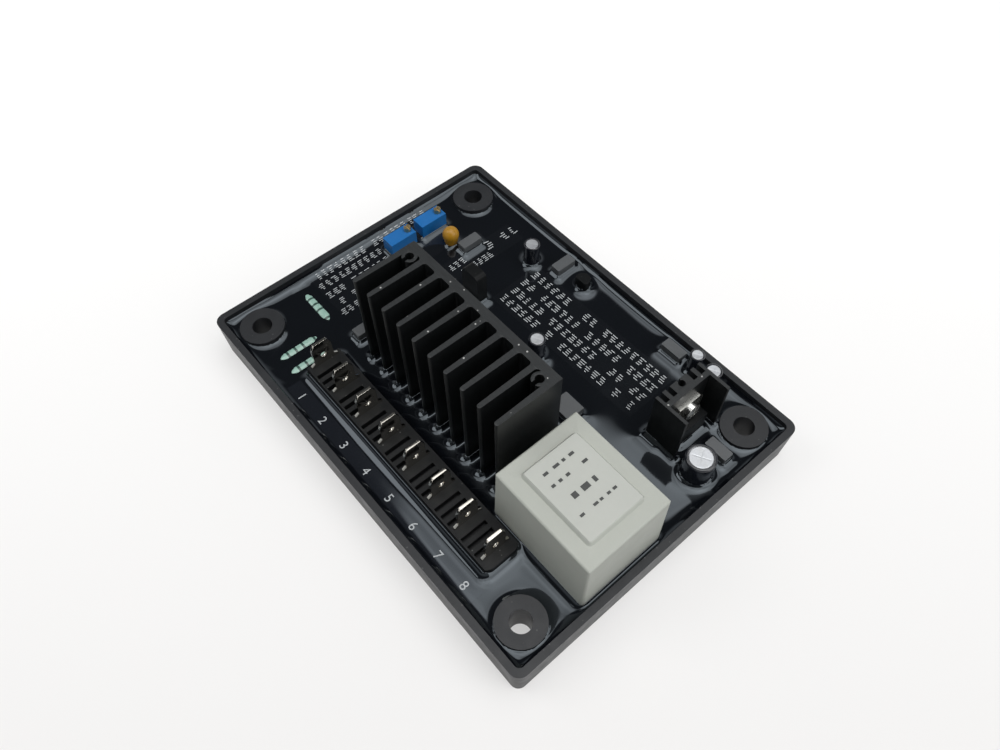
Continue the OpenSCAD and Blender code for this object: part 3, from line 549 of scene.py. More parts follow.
@dataclass(frozen=True)
class CastResin(Finish):
    """Dark cast resin with a wet, cool gloss and a faint slow ripple."""

    index: float = 1.6
    tint: Colour = (0.82, 0.92, 1.0)
    ripple: float = 0.06
    ripple_strength: float = 0.3

    def shader(self, sketch: Sketch) -> Socket:
        """Builds the finish's shader.

        Args:
            sketch: The material's sketch.

        Returns:
            The shader's socket.
        """
        wave = self.effect(sketch, Effect.RIPPLE)
        inputs = {
            "Base Color": self.tone(sketch, self.colour),
            "Roughness": self.rough(sketch),
            "IOR": self.index,
            "Specular Tint": self.tint,
            "Normal": self.bump(sketch, wave, self.ripple_strength, self.ripple),
        }
        return sketch.put("BsdfPrincipled", inputs).outputs[0]


@dataclass(frozen=True)
class BandedCoat(Finish):
    """Lacquer with dark bands across a lying body."""

    along: Axis = Axis.X
    centre: float = 0.0
    bands: tuple[float, ...] = (-3.6, -1.0, 1.5, 5.4)
    band_w: float = 0.75
    band_edge: Span = (0.4, 0.55)
    band: Colour = (0.02, 0.06, 0.045)
    coat: float = 0.4
    coat_roughness: float = 0.1

    def shader(self, sketch: Sketch) -> Socket:
        """Builds the finish's shader.

        Args:
            sketch: The material's sketch.

        Returns:
            The shader's socket.
        """
        split = sketch.put("SeparateXYZ", {0: sketch.coordinates()})
        along = split.outputs[self.along.value]
        full, gone = (share * self.band_w * MM for share in self.band_edge)
        mask: object = 0.0
        for place in self.bands:
            offset = sketch.math("SUBTRACT", along, (self.centre + place) * MM)
            inside = sketch.spread(sketch.math("ABSOLUTE", offset), full, gone, 1.0, 0.0)
            mask = sketch.math("MAXIMUM", mask, inside)
        inputs = {
            "Base Color": sketch.blend(mask, self.tone(sketch, self.colour), self.band),
            "Roughness": self.rough(sketch),
            "Coat Weight": self.coat,
            "Coat Roughness": self.coat_roughness,
        }
        return sketch.put("BsdfPrincipled", inputs).outputs[0]


@dataclass(frozen=True)
class TableTop(Finish):
    """The pale table: it takes the part's shadow, shows as white behind it and has painted shade that
    darkens it towards one side.
    """

    lift: float = 0.3
    # Colour of the painted shade at the table's darker, near side.
    near: Colour = (0.335, 0.327, 0.322)
    away: Span = (-0.76, 0.65)
    near_at: float = -0.16
    far_at: float = 0.1

    def shader(self, sketch: Sketch) -> Socket:
        """Builds the finish's shader.

        Args:
            sketch: The material's sketch.

        Returns:
            The shader's socket.
        """
        place = sketch.put("SeparateXYZ", {0: sketch.coordinates()}).outputs
        # Painted shade: the colour goes from the far colour to the darker near one across the table, in
        # place of light falling off towards that side.
        deep = sketch.math("MULTIPLY", place["Y"], self.away[1])
        away = sketch.math("MULTIPLY_ADD", place["X"], self.away[0], deep)
        share = sketch.spread(away, self.near_at, self.far_at, 0.0, 1.0)
        colour = sketch.blend(share, self.near, self.colour)
        paper = sketch.put("BsdfDiffuse", {"Color": self.tone(sketch, colour)}).outputs[0]
        path = sketch.put("LightPath").outputs
        seen = sketch.math("MAXIMUM", path["Is Camera Ray"], path["Is Glossy Ray"])
        seen = sketch.math("MAXIMUM", seen, path["Is Transmission Ray"])
        strength = sketch.math("MULTIPLY", seen, self.lift)
        glow = sketch.put("Emission", {"Color": self.colour, "Strength": strength}).outputs[0]
        return sketch.put("AddShader", {0: paper, 1: glow}).outputs[0]


TRAY = MouldedPlastic("tray_moulding", (0.013, 0.0142, 0.0165), 0.45, dust=0.1, grain_depth=0.03, gloss=0.4)
BOARD = MouldedPlastic("board_mask", (0.008, 0.009, 0.011), 0.35, grain_depth=0.005)
RESIN = CastResin("dark_resin", (0.0035, 0.0042, 0.0058), 0.06, 0.1)
FILM = CastResin("dark_film", (0.005, 0.0058, 0.0075), 0.08, 0.1)
LEGEND = CastResin("legend_sheet", (0.0085, 0.0097, 0.013), 0.08, 0.1)
INK = MouldedPlastic("pale_ink", (0.4, 0.42, 0.43), 0.35, 0.12, 700.0, grain_depth=0.003)
DARK_INK = MouldedPlastic("dark_ink", (0.045, 0.047, 0.045), 0.45, 0.15, 700.0, grain_depth=0.003)
ANODISED = AnodisedExtrusion("black_extrusion", (0.006, 0.0068, 0.0072), 0.38)
DEVICE = MouldedPlastic("device_moulding", (0.005, 0.0056, 0.006), 0.42, dust=0.08, gloss=0.12)
TRANSFORMER = MouldedPlastic(
    "transformer_moulding",
    (0.395, 0.408, 0.368),
    0.55,
    0.03,
    grain_scale=1800.0,
    pad_z=33.3,
    pad=(0.44, 0.45, 0.415),
)
STRIP = MouldedPlastic("strip_moulding", (0.0085, 0.0092, 0.0098), 0.45, dust=0.15, gloss=0.2)
TERMINAL = PlatedMetal("tinned_tab", (0.66, 0.63, 0.57), 0.12, stained=0.2)
STEEL = PlatedMetal("plated_steel", (0.72, 0.72, 0.7), 0.22)
TAB = PlatedMetal("nickel_tab", (0.4, 0.4, 0.38), 0.28)
BRASS = PlatedMetal("turned_brass", (0.52, 0.415, 0.24), 0.32)
BLUE = MouldedPlastic("blue_moulding", (0.006, 0.12, 0.36), 0.38, 0.05, grain_scale=3000.0)
AMBER = MouldedPlastic("amber_dip", (0.36, 0.18, 0.01), 0.36, 0.12, grain_scale=600.0, gloss=0.35, coat=0.12)
FILM_BOX = MouldedPlastic("grey_box", (0.075, 0.08, 0.084), 0.4, grain_scale=2200.0)
CAN = PlatedMetal("drawn_can", (0.55, 0.565, 0.585), 0.42, stained=0.15)
SLEEVE = MouldedPlastic("shrunk_sleeve", (0.008, 0.0095, 0.014), 0.22, grain_depth=0.004, coat=0.3)
RESISTOR_GREEN: Colour = (0.29, 0.46, 0.39)
TABLE = TableTop("pale_table", (0.5, 0.497, 0.493), 0.6, 0.004, 6.0, lift=0.95)


def level_grid(length: float, width: float, pitch: float) -> tuple[np.ndarray, np.ndarray, np.ndarray]:
    """A level grid of points round the origin, and its quads, which look upwards.

    Points are counted row by row. Each quad goes from a point to the next in its row, up to the next row and
    back.

    Args:
        length: Along X.
        width: Along Y.
        pitch: About how far apart the points are.

    Returns:
        X and Y of the points, row by row, and four point numbers for each quad.
    """
    columns, rows = round(length / pitch) + 1, round(width / pitch) + 1
    x, y = (np.linspace(-side / 2, side / 2, count) for side, count in ((length, columns), (width, rows)))
    point = np.arange(rows * columns).reshape(rows, columns)
    corners = (point[:-1, :-1], point[:-1, 1:], point[1:, 1:], point[1:, :-1])
    return *np.meshgrid(x, y), np.stack(corners, axis=-1).reshape(-1, 4)


def add_piece(
    name: str, points: np.ndarray, faces: np.ndarray, finish: Finish, smooth: bool = True
) -> bpy.types.Object:
    """Makes a mesh of whole arrays and lets it ride on the housing.

    Args:
        name: The piece's name.
        points: Its points in metres, in the part's frame.
        faces: Point numbers of its faces, all with the same number of corners.
        finish: Its finish.
        smooth: Whether its faces are shaded as one curved surface.

    Returns:
        The new object.
    """
    mesh = bpy.data.meshes.new(name)
    flat = np.ascontiguousarray(points, np.float32).reshape(-1)
    corners = np.ascontiguousarray(faces, np.int32)
    mesh.vertices.add(len(flat) // 3)
    mesh.vertices.foreach_set("co", flat)
    mesh.loops.add(corners.size)
    mesh.loops.foreach_set("vertex_index", corners.ravel())
    mesh.polygons.add(len(corners))
    starts = np.arange(0, corners.size, corners.shape[1], dtype=np.int32)
    mesh.polygons.foreach_set("loop_start", starts)
    mesh.polygons.foreach_set("use_smooth", np.full(len(corners), smooth))
    mesh.update(calc_edges=True)
    mesh.validate()
    piece = bpy.data.objects.new(name, mesh)
    bpy.context.scene.collection.objects.link(piece)
    mesh.materials.append(finish.material())
    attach(piece, HOUSING)
    LOG.info("piece %s: %d faces", name, len(corners))
    return piece


def dress(finish: Finish, *nodes: str, edge: float = 0.0) -> None:
    """Gives CAD nodes a finish, and softens their edges where asked.

    Args:
        finish: The finish.
        *nodes: Names of the nodes.
        edge: Width of the bevel on their sharp edges, in millimetres.
    """
    for node in nodes:
        part = frame["nodes"][node]
        part.data.materials.clear()
        part.data.materials.append(finish.material())
        if edge:
            weld = part.modifiers.new("weld", "WELD")
            weld.merge_threshold = WELD_GAP
            bevel = part.modifiers.new("soft_edge", "BEVEL")
            bevel.width, bevel.segments = edge * MM, EDGE_SEGMENTS
            bevel.limit_method, bevel.angle_limit = "ANGLE", EDGE_ANGLE
            bevel.use_clamp_overlap, bevel.harden_normals = True, False
            part.modifiers.new("flat_faces", "WEIGHTED_NORMAL")
        LOG.info("node %s: %s", node, finish.name)


def numbered(name: str, count: int) -> list[str]:
    """The names of a row of like nodes, counted from 1."""
    return [f"{name}_{i}" for i in range(1, count + 1)]


@dataclass(frozen=True)
class Footprint:
    """Where a piece stands in the resin, seen from above, and how the resin climbs it. Metres."""

    x: float
    y: float
    half_x: float
    half_y: float
    corner: float = 0.0
    climb: float = 1.0
    solid: bool = True

    @classmethod
    def of_node(
        cls, node: str, inset: float = 0.0, corner: float = 0.3 * MM, climb: float = 1.0, solid: bool = True
    ) -> "Footprint":
        """The footprint of a CAD node's box.

        Args:
            node: The node.
            inset: How far the footprint stays inside the box.
            corner: Radius of its corners.
            climb: Share of the full meniscus that it gets.
            solid: Whether the piece fills it at the resin's level.

        Returns:
            The footprint.
        """
        low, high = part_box(node)
        middle, half = (low + high) / 2, (high - low) / 2
        return cls(middle.x, middle.y, half.x - inset, half.y - inset, corner, climb, solid)

    @classmethod
    def of_disc(
        cls, x: float, y: float, radius: float, climb: float = 1.0, solid: bool = True
    ) -> "Footprint":
        """A round footprint: a square whose corner radius is half its side."""
        return cls(x, y, radius, radius, radius, climb, solid)

    @classmethod
    def of_sides(cls, left: float, right: float, near: float, far: float) -> "Footprint":
        """A rectangle with sharp corners between its four sides."""
        return cls((left + right) / 2, (near + far) / 2, (right - left) / 2, (far - near) / 2)

    def distance(self, x: np.ndarray, y: np.ndarray) -> np.ndarray:
        """How far each point lies outside the footprint, negative inside it.

        The footprint is a rectangle shrunk by its corner radius and grown again: outside, the distance is
        the length of what sticks out past the shrunk rectangle, less the radius.

        Args:
            x: Points' X.
            y: Points' Y.

        Returns:
            The distances.
        """
        out_x = np.abs(x - self.x) - self.half_x + self.corner
        out_y = np.abs(y - self.y) - self.half_y + self.corner
        outside = np.hypot(np.maximum(out_x, 0), np.maximum(out_y, 0))
        return outside + np.minimum(np.maximum(out_x, out_y), 0) - self.corner


@dataclass
class ResinFill:
    """The surface of the resin, which climbs the wall and every piece that stands in it."""

    level: float = 9.7 * MM
    length: float = 130.8 * MM
    width: float = 96.3 * MM
    wall_x: float = 65.1 * MM
    wall_y: float = 47.85 * MM
    climb: float = 1.05 * MM
    reach: float = 0.85 * MM
    slope_climb: float = 0.5 * MM
    slope_reach: float = 3.4 * MM
    behind: float = 0.3 * MM
    lift_cap: float = 1.3
    join: float = 0.7
    boss_share: float = 0.42
    part_share: float = 0.8
    skin: float = 0.35 * MM
    sunk: float = 2.5 * MM
    drop_r: float = 1.8 * MM
    transformer_inset: float = 0.1 * MM
    transformer_corner: float = 1.6 * MM
    strip_inset: float = 0.45 * MM
    strip_corner: float = 1.0 * MM
    dip: float = 0.05 * MM
    dip_inset: float = 1.2 * MM
    dip_corner: float = 0.6 * MM
    dip_flat: float = 0.6 * MM
    dip_reach: float = 3.0 * MM
    pitch: float = 0.37 * MM
    boss_x: float = 57.0 * MM
    boss_y: float = 40.0 * MM
    boss_r: float = 6.5 * MM
    bore_margin: float = 4.6 * MM
    fin_count: int = 10
    fin_pitch: float = 6.1 * MM
    fin_half: float = 0.75 * MM
    fin_corner: float = 0.6 * MM
    spine: float = 2.5 * MM
    clip_wing: float = 0.95 * MM
    clip_back: float = 4.3 * MM
    swell: float = 0.02 * MM
    waves: tuple[Triple, ...] = ((131, 57, 0.0), (-41, 173, 1.3), (223, 197, 0.6))
    footprints: list[Footprint] = field(default_factory=list)
    dips: list[Footprint] = field(default_factory=list)

    def bosses(self) -> list[tuple[float, float]]:
        """The axes of the four bosses."""
        return [(sx * self.boss_x, sy * self.boss_y) for sx in (-1, 1) for sy in (-1, 1)]

    def collect(self) -> None:
        """Lists the footprint of all that stands in the resin, and of the resistors that lie in it."""
        add = self.footprints.append
        for x, y in self.bosses():
            add(Footprint.of_disc(x, y, self.boss_r, self.boss_share))
        boxes = numbered("trimmer_body", 2) + numbered("film_capacitor", 6) + ["standing_device"]
        for node in boxes + ["power_device", "transistor_case"]:
            add(Footprint.of_node(node, climb=self.part_share, solid=node in boxes))
        add(Footprint.of_node("transformer", self.transformer_inset, self.transformer_corner))
        add(Footprint.of_node("terminal_strip", self.strip_inset, self.strip_corner))
        for node in numbered("capacitor_sleeve", 5) + ["signal_transistor", "drop_capacitor"]:
            low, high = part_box(node)
            middle = (low + high) / 2
            drop = node == "drop_capacitor"
            radius = self.drop_r if drop else (high.x - low.x) / 2
            add(Footprint.of_disc(middle.x, middle.y, radius, self.part_share, not drop))
        resistors = numbered("resistor", 3)
        self.dips = [Footprint.of_node(node, self.dip_inset, self.dip_corner) for node in resistors]
        self.collect_sinks()

    def collect_sinks(self) -> None:
        """Lists the spine and fins of the heat sink, and the wings and back of the small one."""
        add = self.footprints.append
        low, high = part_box("heat_sink")
        root = high.y - self.spine
        add(Footprint.of_sides(low.x, high.x, root, high.y))
        for i in range(self.fin_count):
            x = (low.x + high.x) / 2 + (i - (self.fin_count - 1) / 2) * self.fin_pitch
            add(Footprint(x, (low.y + root) / 2, self.fin_half, (root - low.y) / 2, self.fin_corner))
        low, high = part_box("small_heat_sink")
        add(Footprint.of_sides(low.x, high.x, low.y, low.y + self.clip_wing))
        add(Footprint.of_sides(low.x, high.x, high.y - self.clip_wing, high.y))
        add(Footprint.of_sides(low.x, low.x + self.clip_back, low.y, high.y))

    def height(self, x: np.ndarray, y: np.ndarray) -> np.ndarray:
        """How far the resin stands over its level.

        Each wall or piece lifts it twice, by a steep rim and by a wide gentle slope, and each lift dies away
        exponentially with distance. Lifts of one kind join as one minus the product of what each leaves, so
        that two near pieces hardly lift it past one alone. A slow swell of three crossing sine waves lies
        over all of it. Round each lying resistor it is pressed down to a flat dip, with a smooth step back
        up, and inside a solid piece it sinks out of sight.

        Args:
            x: Points' X.
            y: Points' Y.

        Returns:
            The heights.
        """
        gaps = [(self.wall_x - np.abs(x), 1.0), (self.wall_y - np.abs(y), 1.0)]
        gaps += [(f.distance(x, y), f.climb) for f in self.footprints]
        total = np.zeros_like(x)
        for climb, reach in ((self.climb, self.reach), (self.slope_climb, self.slope_reach)):
            keep = np.ones_like(x)
            for gap, share in gaps:
                lift = share * np.exp(-np.maximum(gap, -self.behind) / reach)
                keep *= 1 - np.minimum(lift, self.lift_cap) * self.join
            total += climb * (1 - keep) / self.join
        total += self.swell * sum(np.sin(x * a + y * b + start) for a, b, start in self.waves)
        for dip in self.dips:
            rise = np.clip((dip.distance(x, y) - self.dip_flat) / self.dip_reach, 0, 1)
            over = np.maximum(total - self.dip, 0)
            total += over * (rise * rise * (3 - 2 * rise) - 1)
        for piece in (f for f in self.footprints if f.solid):
            total -= self.sunk * np.clip(-piece.distance(x, y) / self.skin - 1, 0, 1)
        return total

    def surface(self, x: np.ndarray, y: np.ndarray, lift: float = 0.0) -> np.ndarray:
        """Points on the resin's surface or just over it.

        Args:
            x: Points' X.
            y: Points' Y.
            lift: How far over the surface.

        Returns:
            The points, one in each row.
        """
        return np.stack([x, y, self.level + self.height(x, y) + lift], axis=-1).reshape(-1, 3)

    def build(self) -> None:
        """Makes the surface, open where the bores pass through the bosses."""
        self.collect()
        x, y, quads = level_grid(self.length, self.width, self.pitch)
        points = self.surface(x, y)
        middle = points[quads].mean(axis=1)
        clear = np.ones(len(quads), bool)
        for boss_x, boss_y in self.bosses():
            clear &= np.hypot(middle[:, 0] - boss_x, middle[:, 1] - boss_y) > self.bore_margin
        quads = quads[clear]
        used, numbers = np.unique(quads, return_inverse=True)
        piece = add_piece("resin_fill", points[used], numbers.reshape(quads.shape), RESIN)
        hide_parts("potting_resin")


@dataclass(frozen=True)
class DashRow:
    """A row of small dashes: where it starts, how it runs, and its cells. Millimetres and degrees."""

    x: float
    y: float
    turn: float
    cells: int
    pitch: float
    height: float
    blanks: tuple[int, ...] = ()
    lines: int = 4
    ink_share: float = 0.38
    starts: Span = (0.02, 0.38)
    stops: Span = (0.55, 0.9)

    def corners(self, draw: np.random.Generator) -> tuple[np.ndarray, np.ndarray]:
        """The corners of the row's dashes.

        Each cell holds a stack of level dashes. A dash starts and ends at drawn shares of its cell's width,
        and the whole row is then turned about its start.

        Args:
            draw: Source of the drawn shares.

        Returns:
            X and Y of four corners for each dash, in metres.
        """
        cell = np.array([i for i in range(self.cells) if i not in self.blanks])
        start = draw.uniform(*self.starts, (len(cell), self.lines))
        stop = draw.uniform(*self.stops, (len(cell), self.lines))
        base = ((np.arange(self.lines) + 0.5) / self.lines - 0.5) * self.height
        half = self.ink_share / 2 / self.lines * self.height
        left = (cell[:, None] + start) * self.pitch
        right = (cell[:, None] + stop) * self.pitch
        low = np.broadcast_to(base - half, left.shape)
        high = np.broadcast_to(base + half, left.shape)
        u = np.stack([left, right, right, left], axis=-1).reshape(-1, 4) * MM
        v = np.stack([low, low, high, high], axis=-1).reshape(-1, 4) * MM
        c, s = math.cos(math.radians(self.turn)), math.sin(math.radians(self.turn))
        return self.x * MM + c * u - s * v, self.y * MM + s * u + c * v


def dash_corners(rows: list[DashRow], seed: int) -> tuple[np.ndarray, np.ndarray, np.ndarray]:
    """The corners of all the dashes in some rows, and their quads.

    Args:
        rows: The rows, in the order in which they draw.
        seed: Starts the draws.

    Returns:
        X and Y of four corners for each dash, and four point numbers for each quad.
    """
    draw = np.random.default_rng(seed)
    x, y = (np.concatenate(part) for part in zip(*(row.corners(draw) for row in rows)))
    return x, y, np.arange(x.size).reshape(-1, 4)


@dataclass(frozen=True)
class Film:
    """One film: its middle, its length and width before it is turned, and its turn. Metres and degrees."""

    name: str
    x: float
    y: float
    length: float
    width: float
    turn: float = 0.0
    finish: Finish = FILM


@dataclass
class PrintedFilms:
    """The dark films at the resin's surface, with their pale dashes and numbers."""

    resin: ResinFill
    films: tuple[Film, ...] = (
        Film("rear_film", 6.0 * MM, 28.2 * MM, 56.4 * MM, 18.6 * MM, 1.6),
        Film("side_film", -55.4 * MM, 3.0 * MM, 18.6 * MM, 45.0 * MM),
        Film("narrow_film", -37.6 * MM, 28.0 * MM, 8.2 * MM, 27.0 * MM),
    )
    film_lift: float = 0.03 * MM
    ink_lift: float = 0.05 * MM
    pitch: float = 0.5 * MM
    seed: int = 7
    number_count: int = 8
    number_size: float = 3.6 * MM
    number_x: float = -29.85 * MM
    number_pitch: float = 10.15 * MM
    number_y: float = -45.5 * MM

    def rows(self) -> list[DashRow]:
        """The rows of dashes on the films: four on the rear film, then those on the side and narrow ones."""
        found = []
        for i, blanks in enumerate([(1, 3, 11, 13), (2, 5, 6, 14), (4, 10, 17), (9, 12, 13)]):
            found.append(DashRow(33.0, 22.6 + 4.3 * i, 181.6, 20, 2.7, 3.0, blanks))
        for x, top, cells, pitch, height, blanks in (
            (-63.0, 24.5, 18, 2.36, 2.7, (9,)),
            (-59.2, 4.5, 10, 2.36, 2.7, ()),
            (-55.0, 4.5, 10, 2.36, 2.7, (6,)),
            (-50.8, -10.5, 3, 2.36, 2.7, (1,)),
            (-46.9, -12.5, 3, 2.36, 2.7, ()),
            (-38.6, 42.2, 4, 3.2, 3.4, (2,)),
            (-35.4, 29.8, 6, 2.0, 2.6, (4,)),
            (-39.0, 21.6, 3, 2.0, 2.6, ()),
        ):
            found.append(DashRow(x, top, -90.0, cells, pitch, height, blanks))
        return found

    def build(self) -> None:
        """Makes the films, the dashes and the terminal numbers."""
        for film in self.films:
            self.lay(film)
        low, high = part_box("legend_strip")
        middle, size = (low + high) / 2, high - low
        legend = self.lay(Film("legend", middle.x, middle.y, size.x, size.y, finish=LEGEND))
        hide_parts("legend_strip")
        x, y, quads = dash_corners(self.rows(), self.seed)
        points = self.resin.surface(x, y, self.ink_lift)
        add_piece("film_dashes", points, quads, INK, smooth=False)
        self.numbers()

    def lay(self, film: Film) -> bpy.types.Object:
        """Lays one film: a turned rectangle of points, each lifted to just over the resin's surface.

        Args:
            film: The film.

        Returns:
            The new object.
        """
        u, v, quads = level_grid(film.length, film.width, self.pitch)
        c, s = math.cos(math.radians(film.turn)), math.sin(math.radians(film.turn))
        points = self.resin.surface(film.x + c * u - s * v, film.y + s * u + c * v, self.film_lift)
        return add_piece(film.name, points, quads, film.finish)

    def numbers(self) -> None:
        """Sets a plain number on the legend film before each terminal, as one mesh."""
        points, faces, count = [], [], 0
        for i in range(self.number_count):
            curve = bpy.data.curves.new("number", "FONT")
            curve.body, curve.size, curve.align_x = str(i + 1), self.number_size, "CENTER"
            holder = bpy.data.objects.new("number", curve)
            bpy.context.scene.collection.objects.link(holder)
            bpy.context.view_layer.update()
            flat = holder.evaluated_get(bpy.context.evaluated_depsgraph_get()).to_mesh()
            flat.calc_loop_triangles()
            co = np.zeros(len(flat.vertices) * 3, np.float32)
            flat.vertices.foreach_get("co", co)
            corner = np.zeros(len(flat.loop_triangles) * 3, np.int32)
            flat.loop_triangles.foreach_get("vertices", corner)
            co = co.reshape(-1, 3).astype(float)
            x = co[:, 0] + self.number_x + i * self.number_pitch
            points.append(self.resin.surface(x, co[:, 1] + self.number_y, self.ink_lift))
            faces.append(corner.reshape(-1, 3) + count)
            count += len(co)
            bpy.data.objects.remove(holder)
        points, faces = np.concatenate(points), np.concatenate(faces)
        add_piece("legend_numbers", points, faces, INK, smooth=False)


@dataclass
class PadPrint:
    """Plain dark dashes on the transformer's pad."""

    lift: float = 0.04 * MM
    seed: int = 11

    def build(self) -> None:
        """Makes the dashes level with the pad's top, in rows that run along Y."""
        low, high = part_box("transformer")
        x, y = (low.x + high.x) / 2 / MM, (low.y + high.y) / 2 / MM
        rows = [
            DashRow(x - 7.6, y - 5.4, 90.0, 4, 2.7, 1.6, lines=1, ink_share=0.5),
            DashRow(x - 4.2, y - 6.6, 90.0, 5, 2.5, 1.6, (3,), lines=1, ink_share=0.5),
            DashRow(x + 0.6, y - 4.6, 90.0, 3, 3.2, 2.6, lines=1, ink_share=0.6),
            DashRow(x + 5.2, y - 6.2, 90.0, 6, 2.1, 1.4, (1,), lines=1, ink_share=0.5),
        ]
        x, y, quads = dash_corners(rows, self.seed)
        points = np.stack([x, y, np.full_like(x, high.z + self.lift)], axis=-1)
        add_piece("pad_dashes", points, quads, DARK_INK, smooth=False)


@dataclass
class CanLids:
    """The pressed lids of the electrolytic capacitors, with their vent scores."""

    count: int = 5
    lip_share: float = 0.77
    rings: int = 23
    spokes: int = 96
    rise: float = 0.14 * MM
    dish: float = 0.03 * MM
    groove: float = 0.025 * MM
    groove_half: float = 0.12 * MM
    groove_share: float = 0.82
    rim_share: float = 0.97
    rim_sunk: float = 0.02 * MM
    turn: float = 0.5

    def build(self) -> None:
        """Makes one lid for each can."""
        for number in range(1, self.count + 1):
            self.lid(number)

    def lid(self, number: int) -> None:
        """Makes one lid over a polar grid, whose rings close on themselves round one middle point.

        The lid is flat with a slight dish. Two crossing scores sink into it, each with the section of a bell
        curve across its line, and they end before the rim, which turns down into the can.

        Args:
            number: Which capacitor.
        """
        low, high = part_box(f"capacitor_sleeve_{number}")
        radius = (high.x - low.x) / 2 * self.lip_share
        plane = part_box(f"capacitor_can_{number}")[1].z
        r = np.append(0.0, np.repeat(np.linspace(0, radius, self.rings + 1)[1:], self.spokes))
        angle = np.append(0.0, np.tile(np.arange(self.spokes) * 2 * math.pi / self.spokes, self.rings))
        x, y = r * np.cos(angle), r * np.sin(angle)
        c, s = math.cos(self.turn), math.sin(self.turn)
        across = np.minimum(np.abs(c * x + s * y), np.abs(c * y - s * x))
        score = np.exp(-((across / self.groove_half) ** 2)) * (r < self.groove_share * radius)
        z = plane + self.rise - self.groove * score - self.dish * (1 - (r / radius) ** 2)
        z = np.where(r > self.rim_share * radius, plane - self.rim_sunk, z)
        middle = (low + high) / 2
        points = np.stack([x + middle.x, y + middle.y, z], axis=-1)
        ring = np.arange(1, len(points)).reshape(self.rings, self.spokes)
        after = np.roll(ring, -1, axis=1)
        fan = (np.zeros_like(ring[:1]), ring[:1], after[:1])
        inner = (ring[:-1], ring[1:], after[1:])
        outer = (ring[:-1], after[1:], after[:-1])
        faces = np.concatenate([np.stack(part, axis=-1).reshape(-1, 3) for part in (fan, inner, outer)])
        add_piece(f"can_lid_{number}", points, faces, CAN)


@dataclass
class Housing:
    """The tray, board and everything on it that keeps its CAD shape."""

    def build(self) -> None:
        """Dresses the CAD nodes."""
        dress(TRAY, "tray")
        dress(BOARD, "circuit_board")
        dress(ANODISED, "heat_sink", "small_heat_sink", edge=0.12)
        dress(STEEL, "heat_sink_screws", "power_device_screw", "transistor_screw")
        dress(DEVICE, "power_device", "transistor_case", "standing_device", "signal_transistor", edge=0.2)
        dress(TRANSFORMER, "transformer", edge=0.6)
        dress(STRIP, "terminal_strip", edge=0.15)
        dress(TERMINAL, *numbered("spade_terminal", 8), edge=0.1)
        dress(BLUE, *numbered("trimmer_body", 2), edge=0.2)
        dress(BRASS, *numbered("trimmer_screw", 2))
        dress(AMBER, "drop_capacitor")
        dress(FILM_BOX, *numbered("film_capacitor", 6), edge=0.2)
        dress(CAN, *numbered("capacitor_can", 5))
        dress(SLEEVE, *numbered("capacitor_sleeve", 5))
        dress(TAB, "transistor_tab", edge=0.1)
        for node in numbered("resistor", 3):
            low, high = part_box(node)
            along = Axis.X if high.x - low.x > high.y - low.y else Axis.Y
            centre = ((low + high) / 2)[along.value] / MM
            dress(BandedCoat(f"{node}_coat", RESISTOR_GREEN, 0.35, along=along, centre=centre), node)


@dataclass(frozen=True)
class Softbox:
    """A lamp that faces the part: where it hangs, its two sides, and its power. Metres and watts."""

    name: str
    place: Triple
    width: float
    depth: float
    power: float

    def hang(self) -> None:
        """Makes the lamp."""
        data = bpy.data.lights.new(self.name, "AREA")
        data.shape, data.size, data.size_y, data.energy = "RECTANGLE", self.width, self.depth, self.power
        lamp = bpy.data.objects.new(self.name, data)
        bpy.context.scene.collection.objects.link(lamp)
        lamp.location = self.place
        lamp.rotation_euler = (-lamp.location).to_track_quat("-Z", "Y").to_euler()


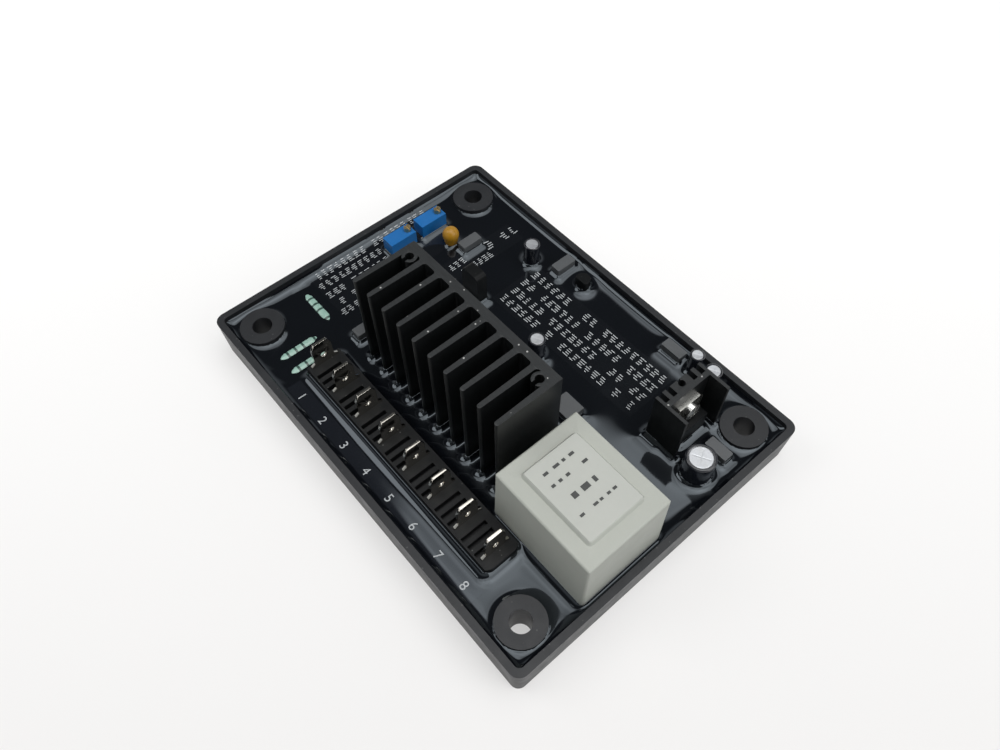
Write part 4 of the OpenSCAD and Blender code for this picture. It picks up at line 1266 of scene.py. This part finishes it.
@dataclass
class Studio:
    """Camera, table and light. The glow's angles are in degrees."""

    place: Triple = (0.0970, -0.0792, 0.2026)
    lens: float = 29.327
    sensor: float = 36.0
    clip_start: float = 0.01
    shift: Span = (-0.0004, 0.0002)
    right: Triple = (0.6524, 0.7578, -0.0062)
    down: Triple = (0.6323, -0.5489, -0.5467)
    ahead: Triple = (-0.4177, 0.3528, -0.8373)
    table_half: float = 2.5
    lamps: tuple[Softbox, ...] = (
        Softbox("right_softbox", (0.72, 0.3, 0.5), 0.6, 0.5, 2.4),
        Softbox("left_softbox", (-0.42, -0.4, 0.7), 0.4, 0.45, 1.7),
    )
    room: Span = (0.55, 0.07)
    room_up: Span = (0.42, 0.64)
    room_colour: Colour = (0.93, 0.97, 1.0)
    glow_axis: Triple = (0.15, 0.1, 0.9836)
    glow_colour: Colour = (1.0, 1.0, 1.0)
    glow_spread: float = 11.0
    glow_level: float = 1.6
    disc_angle: float = 32.2
    disc_edge: float = 1.6
    disc_level: float = 2.05
    disc_cloud: float = 0.3
    cloud_scale: float = 5.0

    def build(self) -> None:
        """Sets up camera, table, lamps and world."""
        self.camera()
        self.table()
        for lamp in self.lamps:
            lamp.hang()
        self.world()

    def camera(self) -> None:
        """Stands the camera where the photograph was taken from."""
        data = bpy.data.cameras.new("camera")
        data.sensor_width, data.lens, data.clip_start = self.sensor, self.lens, self.clip_start
        data.shift_x, data.shift_y = self.shift
        camera = bpy.data.objects.new("camera", data)
        bpy.context.scene.collection.objects.link(camera)
        axes = np.array([self.right, [-v for v in self.down], [-v for v in self.ahead]]).T
        turn = Matrix(axes.tolist()).to_4x4()
        turn.translation = self.place
        camera.matrix_world = turn
        bpy.context.scene.camera = camera

    def table(self) -> None:
        """Lays the pale table under the part."""
        half = self.table_half
        corners = [(-half, -half, 0), (half, -half, 0), (half, half, 0), (-half, half, 0)]
        mesh = bpy.data.meshes.new("table")
        mesh.from_pydata(corners, [], [(0, 1, 2, 3)])
        table = bpy.data.objects.new("table", mesh)
        bpy.context.scene.collection.objects.link(table)
        mesh.materials.append(TABLE.material())

    def world(self) -> None:
        """Surrounds the part with pale walls, a dark ceiling and one wide soft light overhead.

        The light is a disc with a soft edge and faint clouds. Its bright middle falls off as a bell curve of
        the angle from its axis, which is the exponential of how far the cosine of that angle lies under one.
        """
        world = bpy.data.worlds.new("surround")
        bpy.context.scene.world = world
        world.use_nodes = True
        world.node_tree.nodes.clear()
        sketch = Sketch(world.node_tree)
        direction = sketch.put("TexCoord").outputs["Generated"]
        up = sketch.put("SeparateXYZ", {0: direction}).outputs["Z"]
        walls = sketch.spread(up, *self.room_up, *self.room)
        room = sketch.put("Background", {"Color": self.room_colour, "Strength": walls})
        dot = sketch.put("VectorMath", {0: direction, 1: self.glow_axis}, operation="DOT_PRODUCT")
        towards = dot.outputs["Value"]
        narrow = 1 / math.radians(self.glow_spread) ** 2
        fall = sketch.math("MULTIPLY", sketch.math("SUBTRACT", towards, 1.0), narrow)
        rim = [math.cos(math.radians(self.disc_angle + side * self.disc_edge)) for side in (1, -1)]
        thin, dense = 1 - self.disc_cloud, 1 + self.disc_cloud
        cloud = sketch.sway(sketch.noise(direction, self.cloud_scale, detail=2.0), thin, dense)
        disc = sketch.math("MULTIPLY", sketch.spread(towards, *rim, 0.0, self.disc_level), cloud)
        bell = sketch.math("MULTIPLY_ADD", sketch.math("EXPONENT", fall), self.glow_level, disc)
        glow = sketch.put("Background", {"Color": self.glow_colour, "Strength": bell})
        both = sketch.put("AddShader", {0: room.outputs[0], 1: glow.outputs[0]})
        sketch.put("OutputWorld", {"Surface": both.outputs[0]})


def main() -> None:
    """Builds every sub-assembly in order."""
    logging.basicConfig(level=logging.INFO, format="%(name)s: %(message)s")
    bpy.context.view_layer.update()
    Studio().build()
    Housing().build()
    resin = ResinFill()
    resin.build()
    PrintedFilms(resin).build()
    PadPrint().build()
    CanLids().build()
    bpy.context.scene.view_settings.view_transform = "Standard"


if __name__ == "__main__":
    main()
